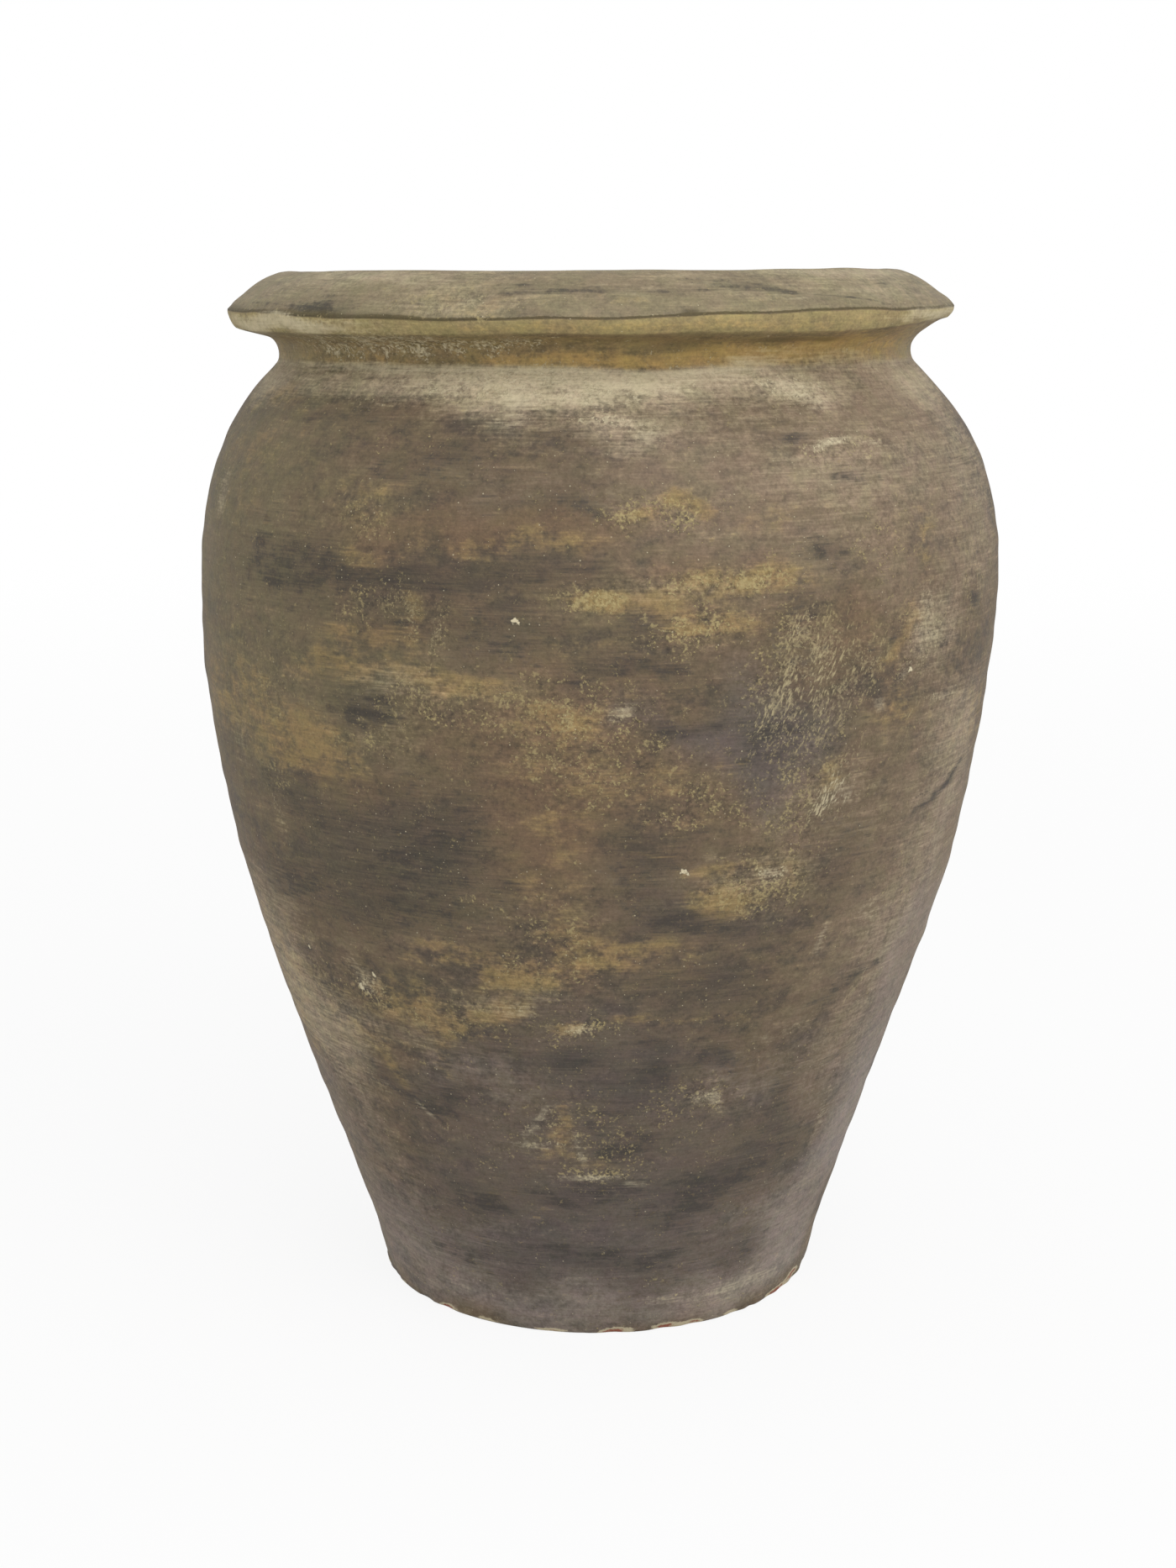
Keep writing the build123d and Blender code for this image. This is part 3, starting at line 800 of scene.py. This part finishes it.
def fill(tree, socket, value):
    """Puts a plain value or another node's output in an input."""
    if isinstance(value, bpy.types.NodeSocket):
        tree.links.new(value, socket)
    else:
        socket.default_value = value


def new_node(tree, kind):
    """A new shader node, set down below the last one or at the top of the next column."""
    node = tree.nodes.new("ShaderNode" + kind)
    column, row = divmod(len(tree.nodes), NODES_IN_COLUMN)
    node.location = (column * COLUMN_STEP, -row * ROW_STEP)
    return node


def add(tree, kind, *values, pick=0, **settings):
    """Adds a shader node, fills its inputs in order and returns the output that is picked."""
    node = new_node(tree, kind)
    for name, value in settings.items():
        setattr(node, name, value)
    for socket, value in zip([s for s in node.inputs if s.enabled], values):
        fill(tree, socket, value)
    return [s for s in node.outputs if s.enabled][pick]


def add_named(tree, kind, group=None, **values):
    """Adds a shader node or a node group, fills its inputs by name and returns its outputs."""
    node = new_node(tree, kind)
    if group:
        node.node_tree = bpy.data.node_groups[group]
    for name, value in values.items():
        fill(tree, node.inputs[name.replace("_", " ")], value)
    return node.outputs


def use_group(tree, group, **values):
    """Places a node group and returns its first output."""
    return add_named(tree, "Group", group, **values)[0]


def maths(tree, operation, *values):
    """One step of arithmetic."""
    return add(tree, "Math", *values, operation=operation)


def times(tree, first, second):
    """The product of two values."""
    return maths(tree, "MULTIPLY", first, second)


def larger(tree, first, second):
    """The larger of two values."""
    return maths(tree, "MAXIMUM", first, second)


def vectors(tree, operation, *values):
    """One step of vector arithmetic."""
    return add(tree, "VectorMath", *values, operation=operation)


def soft_step(tree, value, low, high, top=1.0):
    """0 up to low, top from high on, and a smooth rise between them."""
    return add(tree, "MapRange", value, low, high, 0.0, top, interpolation_type="SMOOTHSTEP")


def soft_drop(tree, value, low, high):
    """1 up to low, 0 from high on, and a smooth fall between them."""
    return maths(tree, "SUBTRACT", 1.0, soft_step(tree, value, low, high))


def band(tree, height, start, full, fading, end):
    """1 from full to fading, 0 up to start and from end on, smooth between them."""
    below_top = soft_drop(tree, height, fading, end)
    return times(tree, soft_step(tree, height, start, full), below_top)


def mixed(tree, share, under, over, how="MIX"):
    """One colour laid over another."""
    return add(tree, "Mix", share, under, over, data_type="RGBA", blend_type=how)


def laid_on(tree, under, over, amount, low, high, top=1.0):
    """One colour laid over another where an amount passes from low to high, and top thick at most."""
    return mixed(tree, soft_step(tree, amount, low, high, top), under, over)


def noise(tree, place, size, detail, gain):
    """Noise whose clouds are about a size across, in metres, spread out to lie between about -1 and 1."""
    scale = maths(tree, "DIVIDE", 1.0, size) if isinstance(size, bpy.types.NodeSocket) else 1 / size
    cloud = add(tree, "TexNoise", place, scale, detail, gain)
    return add(tree, "MapRange", cloud, 0.3, 0.7, -1.0, 1.0, clamp=False)


def total(tree, *parts):
    """The sum of several values, each times its weight."""
    result = 0.0
    for value, weight in parts:
        result = maths(tree, "MULTIPLY_ADD", value, weight, result)
    return result


def flattened(tree, place, flatness, shift):
    """The place with its height drawn out, so that a pattern on it lies in level strokes, and shifted."""
    stretched = vectors(tree, "MULTIPLY", place, (1.0, 1.0, flatness))
    return vectors(tree, "ADD", stretched, (shift, shift * 0.7, shift * 1.3))


def start_group(name, outputs, **inputs):
    """An empty node group that is given a place and more: (group, its input sockets, its output sockets)."""
    group = bpy.data.node_groups.new(name, "ShaderNodeTree")
    for label, value in {"Place": None, **inputs}.items():
        kind = "NodeSocketVector" if value is None else "NodeSocketFloat"
        socket = group.interface.new_socket(name=label, in_out="INPUT", socket_type=kind)
        if value is not None:
            socket.default_value = value
    for label in outputs:
        kind = "NodeSocketColor" if label == "Colour" else "NodeSocketFloat"
        group.interface.new_socket(name=label, in_out="OUTPUT", socket_type=kind)
    start = group.nodes.new("NodeGroupInput")
    end = group.nodes.new("NodeGroupOutput")
    end.location = GROUP_END
    return group, start.outputs, end.inputs


def make_brush_lines():
    """Level strokes of a coarse brush, between about -1 and 1."""
    tree, given, result = start_group("Brush lines", ["Lines"])
    broad = noise(tree, flattened(tree, given["Place"], 8.0, 3.0), BROAD_BRUSH, 4.0, 0.6)
    fine = noise(tree, flattened(tree, given["Place"], 20.0, 5.0), FINE_BRUSH, 3.0, 0.65)
    fill(tree, result["Lines"], total(tree, (broad, 0.5), (fine, 0.6)))


def make_crumbs():
    """Crumbs of a pale coat that holds on in grains: many where the field is 1, few where it is 0."""
    tree, given, result = start_group("Crumbs", ["Crumbs"], Field=0.5, Size=COARSE_CRUMB)
    grains = noise(tree, given["Place"], given["Size"], 2.0, 0.6)
    clusters = noise(tree, given["Place"], CRUMB_CLUSTER, 3.0, 0.6)
    level = total(tree, (grains, 0.62), (clusters, 0.34), (given["Field"], 0.62))
    fill(tree, result["Crumbs"], soft_step(tree, level, 0.52, 1.1))


def make_specks():
    """Small bright specks, further apart where the field is weak."""
    tree, given, result = start_group("Specks", ["Specks"], Field=0.5, Spacing=SPECK_SPACING)
    scale = maths(tree, "DIVIDE", 1.0, given["Spacing"])
    cells = add_named(tree, "TexVoronoi", Vector=given["Place"], Scale=scale)
    chance = add(tree, "SeparateColor", cells["Color"])
    kept = maths(tree, "LESS_THAN", chance, times(tree, given["Field"], 0.5))
    size = add(tree, "SeparateColor", cells["Color"], pick=1)
    radius = maths(tree, "MULTIPLY_ADD", size, 0.15, 0.07)
    inside = soft_drop(tree, cells["Distance"], times(tree, radius, 0.4), radius)
    fill(tree, result["Specks"], times(tree, kept, inside))


def ragged_place(tree, place, amount, size):
    """The place shaken a little, so that an edge measured from it is ragged."""
    shake = add(tree, "TexNoise", place, 1 / size, 2.0, 0.6, pick=1)
    centred = vectors(tree, "SUBTRACT", shake, (0.5, 0.5, 0.5))
    return vectors(tree, "ADD", place, vectors(tree, "SCALE", centred, amount))


def make_flake():
    """A ragged spot where the finish has flaked off."""
    tree, given, result = start_group("Flake", ["Flake"], Middle=None, Size=2 * MM)
    off = vectors(tree, "DISTANCE", given["Place"], given["Middle"])
    share = maths(tree, "DIVIDE", off, given["Size"])
    fill(tree, result["Flake"], soft_drop(tree, share, 0.75, 1.15))


def make_scratch():
    """A ragged line from one end to the other."""
    tree, given, result = start_group("Scratch", ["Scratch"], Start=None, End=None, Width=MM)
    reach = vectors(tree, "SUBTRACT", given["End"], given["Start"])
    off = vectors(tree, "SUBTRACT", given["Place"], given["Start"])
    way = vectors(tree, "DOT_PRODUCT", off, reach)
    share = maths(tree, "DIVIDE", way, vectors(tree, "DOT_PRODUCT", reach, reach))
    nearest = vectors(tree, "SCALE", reach, add(tree, "Clamp", share, 0.0, 1.0))
    gap = vectors(tree, "DISTANCE", off, nearest)
    ratio = maths(tree, "DIVIDE", gap, given["Width"])
    fill(tree, result["Scratch"], soft_drop(tree, ratio, 0.5, 1.3))


def shades():
    """Each colour of the jar's settings, for the sockets of a shader."""
    colours = bpy.context.scene.jar_colours
    return {name: (*getattr(colours, name), 1.0) for name in JarColourSettings.__annotations__}


def make_fired_clay():
    """Fired clay with no finish: warm, cloudy, with grit and finger lines."""
    tree, given, result = start_group("Fired clay", ["Colour", "Height"])
    shade = shades()
    clouds = noise(tree, flattened(tree, given["Place"], 1.6, 2.0), CLAY_CLOUD, 5.0, 0.6)
    dust = noise(tree, flattened(tree, given["Place"], 5.0, 4.0), CLAY_DUST, 4.0, 0.6)
    grit = noise(tree, given["Place"], CLAY_GRIT, 2.0, 0.6)
    colour = laid_on(tree, shade["inner_clay"], shade["terracotta"], clouds, -0.3, 1.0, 0.55)
    colour = laid_on(tree, colour, shade["taupe"], dust, 0.0, 1.0, 0.55)
    colour = laid_on(tree, colour, shade["umber"], grit, 0.4, 1.0, 0.3)
    fill(tree, result["Colour"], colour)
    fill(tree, result["Height"], total(tree, (dust, 0.12), (grit, 0.1)))


def on_wall(degrees, height):
    """The point of the jar's outside at a bearing and a height in millimetres."""
    outer = float(np.interp(height * MM, HEIGHTS, OUTER_RADII))
    turn = radians(degrees)
    true_place = np.array([[outer * sin(turn), -outer * cos(turn), height * MM]])
    return Vector(worked_by_hand(true_place, bpy.context.scene.jar_shape)[0])


def damage(tree, place):
    """All flakes and all scratches, each as one mask."""
    ragged = ragged_place(tree, place, RAG_REACH, RAG_SIZE)
    flakes = scratches = 0.0
    for degrees, height, size in FLAKES:
        middle = on_wall(degrees, height)
        spot = use_group(tree, "Flake", Place=ragged, Middle=middle, Size=size * MM)
        flakes = larger(tree, flakes, spot)
    for degrees, height, to_degrees, to_height, width in SCRATCHES:
        start, end = on_wall(degrees, height), on_wall(to_degrees, to_height)
        line = use_group(tree, "Scratch", Place=ragged, Start=start, End=end, Width=width * MM)
        scratches = larger(tree, scratches, line)
    return flakes, scratches


def empty_tree(owner):
    """The node tree of a material or a world, with nothing in it."""
    owner.use_nodes = True
    owner.node_tree.nodes.clear()
    return owner.node_tree


def new_material(name):
    """An empty material: (its tree, the surface's object coordinates)."""
    tree = empty_tree(bpy.data.materials.new(name))
    return tree, add_named(tree, "TexCoord")["Object"]


def finish_material(tree, colour, roughness, height):
    """Joins colour, roughness and relief to the surface. The height is in millimetres."""
    relief = add_named(tree, "Bump", Distance=MM, Height=height)
    surface = add_named(
        tree,
        "BsdfPrincipled",
        Specular_IOR_Level=SHEEN,
        Base_Color=colour,
        Roughness=roughness,
        Normal=relief["Normal"],
    )
    add_named(tree, "OutputMaterial", Surface=surface["BSDF"])


def make_bare_clay():
    """The unfinished clay of the coil."""
    tree, place = new_material(BARE)
    clay = add_named(tree, "Group", "Fired clay", Place=place)
    finish_material(tree, clay["Colour"], BARE_ROUGHNESS, clay["Height"])


def make_patinated_clay():
    """The jar's outside: a clouded brown ground under slip, soot, dry brushing, crumbs and wear."""
    tree, place = new_material(PATINATED)
    shade = shades()
    laid = {}
    for name in (*LAYERS, "outside", "height"):
        laid[name] = add(tree, "Attribute", pick=2, attribute_name=name)
    # patterns of several sizes
    broad, middle, small, tiny, drips, hues = (
        noise(tree, flattened(tree, place, flatness, shift), size * MM, detail, gain)
        for size, flatness, shift, detail, gain in PATTERNS
    )
    grit = noise(tree, place, GRIT, 2.0, 0.6)
    lines = use_group(tree, "Brush lines", Place=place)
    rubbed = total(tree, (small, 0.4), (tiny, 0.4), (lines, 0.3))
    brushing = total(tree, (small, 0.22), (tiny, 0.32), (lines, 0.6))
    # the clouded ground
    ground = total(
        tree, (broad, 0.32), (middle, 0.42), (small, 0.34), (tiny, 0.15), (lines, 0.12), (drips, 0.05)
    )
    colour = laid_on(tree, shade["umber"], shade["walnut"], ground, -0.6, 0.15)
    colour = laid_on(tree, colour, shade["taupe"], ground, 0.05, 0.8, 0.8)
    # the plum tint also paints shade, darker low on the body
    # the rose tint also paints light, lighter on the right side
    for tint, weight in (("olive", 0.55), ("rose_and_light", 0.7), ("sienna", 0.75), ("plum_and_shade", 0.85), ("mauve", 0.75)):
        worn = total(tree, (laid[tint], 1.0), (rubbed, 0.22), (1.0, -0.08))
        colour = laid_on(tree, colour, shade[tint], worn, 0.0, 1.0, weight)
    # a smoother coat on the lip's slope
    height = maths(tree, "DIVIDE", laid["height"], MM)
    crease, underside, neck_foot = LIP_CREASE / MM, LIP_UNDERSIDE / MM, NECK_FOOT / MM
    on_slope = soft_step(tree, height, crease - 1.0, crease + 1.0)
    coat = times(tree, on_slope, total(tree, (brushing, 0.22), (middle, 0.12), (1.0, 0.62)))
    colour = mixed(tree, coat, colour, shade["fawn"])
    # the yellow slip, and pale dust rubbed on, which is partly painted light on the shoulder and the right
    # side
    slip = total(tree, (laid["ochre"], 0.95), (middle, 0.25), (small, 0.3), (tiny, 0.1), (lines, 0.15))
    colour = laid_on(tree, colour, shade["ochre"], slip, 0.25, 1.05, 0.85)
    dust_and_light = total(tree, (laid["dust"], 1.0), (brushing, 0.3))
    colour = laid_on(tree, colour, shade["dust"], dust_and_light, 0.1, 1.15, 0.85)
    # soot, in clouds drawn out by the brush
    clouds = total(tree, (middle, 0.25), (small, 0.42), (tiny, 0.22), (lines, -0.22), (drips, 0.05))
    smoke = total(tree, (clouds, 1.0), (laid["soot"], 0.92))
    colour = laid_on(tree, colour, shade["soot"], smoke, 0.22, 1.0, 0.85)
    # the straw-coloured coat of the lip's edge, the duller one of the groove, and mustard slip on that
    edge = band(tree, height, underside - 2.0, underside + 1.5, crease - 1.8, crease - 0.4)
    coat = times(tree, edge, total(tree, (rubbed, 0.22), (middle, 0.12), (1.0, 0.72)))
    colour = mixed(tree, coat, colour, shade["straw"])
    groove = band(tree, height, neck_foot + 5.0, neck_foot + 10.0, underside - 3.0, underside + 1.0)
    coat = times(tree, groove, total(tree, (rubbed, 0.3), (1.0, 0.6)))
    colour = mixed(tree, coat, colour, mixed(tree, 0.4, shade["olive"], shade["mustard"]))
    yellow = total(tree, (laid["mustard"], 1.0), (rubbed, 0.45))
    colour = laid_on(tree, colour, shade["mustard"], yellow, 0.1, 1.05, 0.9)
    # painted shade in the groove under the lip, and dirt and painted shadow along the crease
    grime_and_shade = total(tree, (laid["dirt_and_shade"], 1.0), (rubbed, 0.3))
    colour = laid_on(tree, colour, shade["dirt_and_shade"], grime_and_shade, 0.2, 1.0, 0.75)
    # a dark line along the crease itself, of dirt and painted shadow
    off_crease = maths(tree, "ABSOLUTE", total(tree, (height, 1.0), (tiny, 0.35), (1.0, -crease)))
    line_width = total(tree, (laid["dirt_and_shade"], 1.8), (small, 0.5), (1.0, 0.6))
    clear = soft_step(tree, maths(tree, "DIVIDE", off_crease, line_width), 0.4, 1.0)
    colour = mixed(tree, maths(tree, "MULTIPLY_ADD", clear, -0.85, 0.85), colour, shade["dirt_and_shade"])
    # fine unevenness of the rubbed surface, and level brush strokes
    crust = laid["crust"]
    grain = times(tree, tiny, maths(tree, "MULTIPLY_ADD", crust, 0.3, 0.09))
    tone = total(tree, (grain, 1.0), (grit, 0.1), (small, 0.08), (lines, 0.07), (drips, 0.02), (1.0, 1.0))
    colour = mixed(tree, 1.0, colour, tone, "MULTIPLY")
    hue = mixed(tree, soft_step(tree, hues, -1.0, 1.0), HUE_OF_ROSE, HUE_OF_OLIVE)
    colour = mixed(tree, 1.0, colour, hue, "MULTIPLY")
    # pale dry brushing
    brushed = soft_step(tree, total(tree, (laid["chalk"], 0.85), (brushing, 0.42)), 0.25, 1.2)
    colour = mixed(tree, times(tree, brushed, 0.7), colour, shade["chalk"])
    # crumbs, some drawn out in leaning strokes, and specks
    strokes = laid["strokes"]
    coarse, fine = (
        use_group(tree, "Crumbs", Place=place, Field=crust, Size=size)
        for size in (COARSE_CRUMB, FINE_CRUMB)
    )
    along_stroke = vectors(tree, "DOT_PRODUCT", place, STROKE_WAY)
    leaning = vectors(tree, "SUBTRACT", place, vectors(tree, "SCALE", STROKE_WAY, along_stroke))
    drawn = use_group(tree, "Crumbs", Place=leaning, Field=strokes, Size=DRAWN_CRUMB)
    drawn = times(tree, drawn, soft_step(tree, strokes, 0.1, 0.6))
    crumbs = larger(tree, times(tree, coarse, 0.55), times(tree, fine, 0.8))
    crumbs = times(tree, crumbs, maths(tree, "MULTIPLY_ADD", strokes, -0.6, 1.0))
    crumbs = larger(tree, crumbs, times(tree, drawn, 0.7))
    pale = total(tree, (laid["chalk"], 1.0), (laid["dust"], 0.8), (strokes, 0.55), (groove, 0.8))
    paleness = maths(tree, "MULTIPLY_ADD", soft_step(tree, pale, 0.1, 0.9), 0.85, 0.12)
    colour = mixed(tree, crumbs, colour, mixed(tree, paleness, shade["straw"], shade["bone"]))
    sprinkled = maths(tree, "ADD", laid["specks"], 0.2)
    specks = use_group(tree, "Specks", Place=place, Field=sprinkled)
    colour = mixed(tree, times(tree, specks, 0.65), colour, shade["bone"])
    # flakes, scratches and the worn foot
    flakes, scratches = damage(tree, place)
    colour = mixed(tree, flakes, colour, shade["bone"])
    colour = mixed(tree, times(tree, scratches, 0.5), colour, shade["soot"])
    worn = total(tree, (laid["wear"], 1.0), (small, 0.25), (tiny, 0.1))
    colour = laid_on(tree, colour, shade["chalk"], worn, 0.35, 0.6, 0.7)
    colour = laid_on(tree, colour, shade["terracotta"], worn, 0.75, 0.95)
    # relief in millimetres
    rough = total(tree, (small, 0.16), (tiny, 0.10), (grit, 0.04), (lines, 0.05), (crumbs, 0.45))
    relief = total(tree, (rough, 1.0), (brushed, 0.08), (specks, 0.2), (flakes, -0.7), (scratches, -0.3))
    # the bare clay inside the jar
    clay = add_named(tree, "Group", "Fired clay", Place=place)
    outside = soft_step(tree, total(tree, (laid["outside"], 1.0), (small, 0.15)), 0.4, 0.6)
    colour = mixed(tree, outside, clay["Colour"], colour)
    relief = add(tree, "Mix", outside, clay["Height"], relief, data_type="FLOAT")
    roughness = total(tree, (small, 0.05), (crumbs, 0.15), (brushed, 0.1), (1.0, 0.72))
    finish_material(tree, colour, roughness, relief)


def jar_material(name):
    """One of the jar's two materials, made the first time that a piece asks for it."""
    if name not in bpy.data.materials:
        for make in (make_brush_lines, make_crumbs, make_specks, make_flake, make_scratch, make_fired_clay):
            make()
        make_bare_clay()
        make_patinated_clay()
    return bpy.data.materials[name]


# The stage


def seen_directly(tree):
    """1 for rays from the camera, from mirrors and through glass, and 0 for those that light the jar."""
    rays = add_named(tree, "LightPath")
    seen = larger(tree, rays["Is Camera Ray"], rays["Is Glossy Ray"])
    return larger(tree, seen, rays["Is Transmission Ray"])


def make_backdrop(stage):
    """A floor that the jar's shadow falls on. The camera sees it nearly white."""
    sweep = bmesh.new()
    bmesh.ops.create_grid(sweep, x_segments=1, y_segments=1, size=stage.floor_size / 2)
    mesh = built_mesh(STUDIO_FLOOR, sweep)
    tree, place = new_material(FLOOR_PAINT)
    matt = add_named(tree, "BsdfDiffuse", Color=(*stage.floor_shade, 1.0))["BSDF"]
    glow = add_named(tree, "Emission", Color=WHITE, Strength=1.0)["Emission"]
    away = vectors(tree, "LENGTH", place)
    stops = (NEAR_FLOOR, FAR_FLOOR, NEAR_WHITE, 1.0)
    share = add(tree, "MapRange", away, *stops, interpolation_type="SMOOTHSTEP")
    blend = add(tree, "MixShader", times(tree, seen_directly(tree), share), matt, glow)
    add_named(tree, "OutputMaterial", Surface=blend)
    mesh.materials.append(bpy.data.materials[FLOOR_PAINT])
    floor = add_object(STUDIO_FLOOR, mesh)


def make_light(scene, stage):
    """An even sky, white to the camera, and one large lamp up on the right."""
    scene.world = bpy.data.worlds.new("Studio light")
    tree = empty_tree(scene.world)
    strength = add(tree, "MapRange", seen_directly(tree), 0.0, 1.0, stage.sky_light, 1.0)
    sky = add_named(tree, "Background", Color=WHITE, Strength=strength)
    add_named(tree, "OutputWorld", Surface=sky["Background"])
    lamp = bpy.data.lights.new("Soft lamp", "AREA")
    lamp.shape = "RECTANGLE"
    lamp.size, lamp.size_y = LAMP_SIZE
    lamp.energy = stage.lamp_power
    stand = add_object("Soft lamp", lamp)
    stand.location = LAMP_PLACE
    aim = Vector(LAMP_AIM) - Vector(LAMP_PLACE)
    stand.rotation_euler = aim.to_track_quat("-Z", "Y").to_euler()


def make_camera(scene, stage):
    """The camera at the photograph's viewpoint, level with the rim and looking down at the body."""
    lens = bpy.data.cameras.new("Camera")
    lens.lens = stage.camera_lens
    lens.sensor_width = SENSOR_WIDTH
    camera = add_object("Camera", lens)
    camera.location = (stage.camera_side, -stage.camera_distance, stage.camera_height)
    camera.rotation_euler = (pi / 2 - stage.camera_pitch, 0.0, 0.0)
    scene.camera = camera


# Operators


class OLIVEJAR_OT_floor(bpy.types.Operator):
    """Make the floor slab and the coil that seals its corner"""

    bl_idname = "olive_jar.floor"
    bl_label = "Make the Jar's Floor"

    def execute(self, context):
        turn_piece("floor_slab", jar_material(PATINATED))
        turn_piece("corner_coil", jar_material(BARE))
        return {"FINISHED"}


class OLIVEJAR_OT_walls(bpy.types.Operator):
    """Make the four sections of the wall, from the foot to the shoulder"""

    bl_idname = "olive_jar.walls"
    bl_label = "Raise the Walls"

    def execute(self, context):
        for section in ("foot_wall", "lower_wall", "belly_wall", "shoulder_wall"):
            turn_piece(section, jar_material(PATINATED))
        return {"FINISHED"}


class OLIVEJAR_OT_neck(bpy.types.Operator):
    """Make the ring at the top of the shoulder and the rim collar on it"""

    bl_idname = "olive_jar.neck"
    bl_label = "Make the Neck and the Rim"

    def execute(self, context):
        for section in ("neck_ring", "rim_collar"):
            turn_piece(section, jar_material(PATINATED))
        return {"FINISHED"}


class OLIVEJAR_OT_stage(bpy.types.Operator):
    """Set up the floor and backdrop, the soft light and the camera"""

    bl_idname = "olive_jar.stage"
    bl_label = "Set Up the Stage"

    def execute(self, context):
        stage = context.scene.jar_stage
        make_backdrop(stage)
        make_light(context.scene, stage)
        make_camera(context.scene, stage)
        context.scene.view_settings.view_transform = "Standard"
        return {"FINISHED"}


class OLIVEJAR_PT_panel(bpy.types.Panel):
    """The jar's steps and settings in the sidebar"""

    bl_idname = "OLIVEJAR_PT_panel"
    bl_label = "Olive Jar"
    bl_space_type = "VIEW_3D"
    bl_region_type = "UI"
    bl_category = "Olive Jar"

    def draw(self, context):
        layout = self.layout
        for step in STEPS:
            layout.operator(step.bl_idname)
        for settings, owner in (
            (context.scene.jar_shape, JarShapeSettings),
            (context.scene.jar_colours, JarColourSettings),
            (context.scene.jar_stage, JarStageSettings),
        ):
            box = layout.box()
            for name in owner.__annotations__:
                box.prop(settings, name)


STEPS = (OLIVEJAR_OT_floor, OLIVEJAR_OT_walls, OLIVEJAR_OT_neck, OLIVEJAR_OT_stage)
CLASSES = (JarShapeSettings, JarColourSettings, JarStageSettings, *STEPS, OLIVEJAR_PT_panel)


def register():
    for kind in CLASSES:
        bpy.utils.register_class(kind)
    bpy.types.Scene.jar_shape = bpy.props.PointerProperty(type=JarShapeSettings)
    bpy.types.Scene.jar_colours = bpy.props.PointerProperty(type=JarColourSettings)
    bpy.types.Scene.jar_stage = bpy.props.PointerProperty(type=JarStageSettings)


def unregister():
    del bpy.types.Scene.jar_stage
    del bpy.types.Scene.jar_colours
    del bpy.types.Scene.jar_shape
    for kind in reversed(CLASSES):
        bpy.utils.unregister_class(kind)


def main():
    register()
    bpy.ops.olive_jar.floor()
    bpy.ops.olive_jar.walls()
    bpy.ops.olive_jar.neck()
    bpy.ops.olive_jar.stage()


if __name__ == "__main__":
    main()
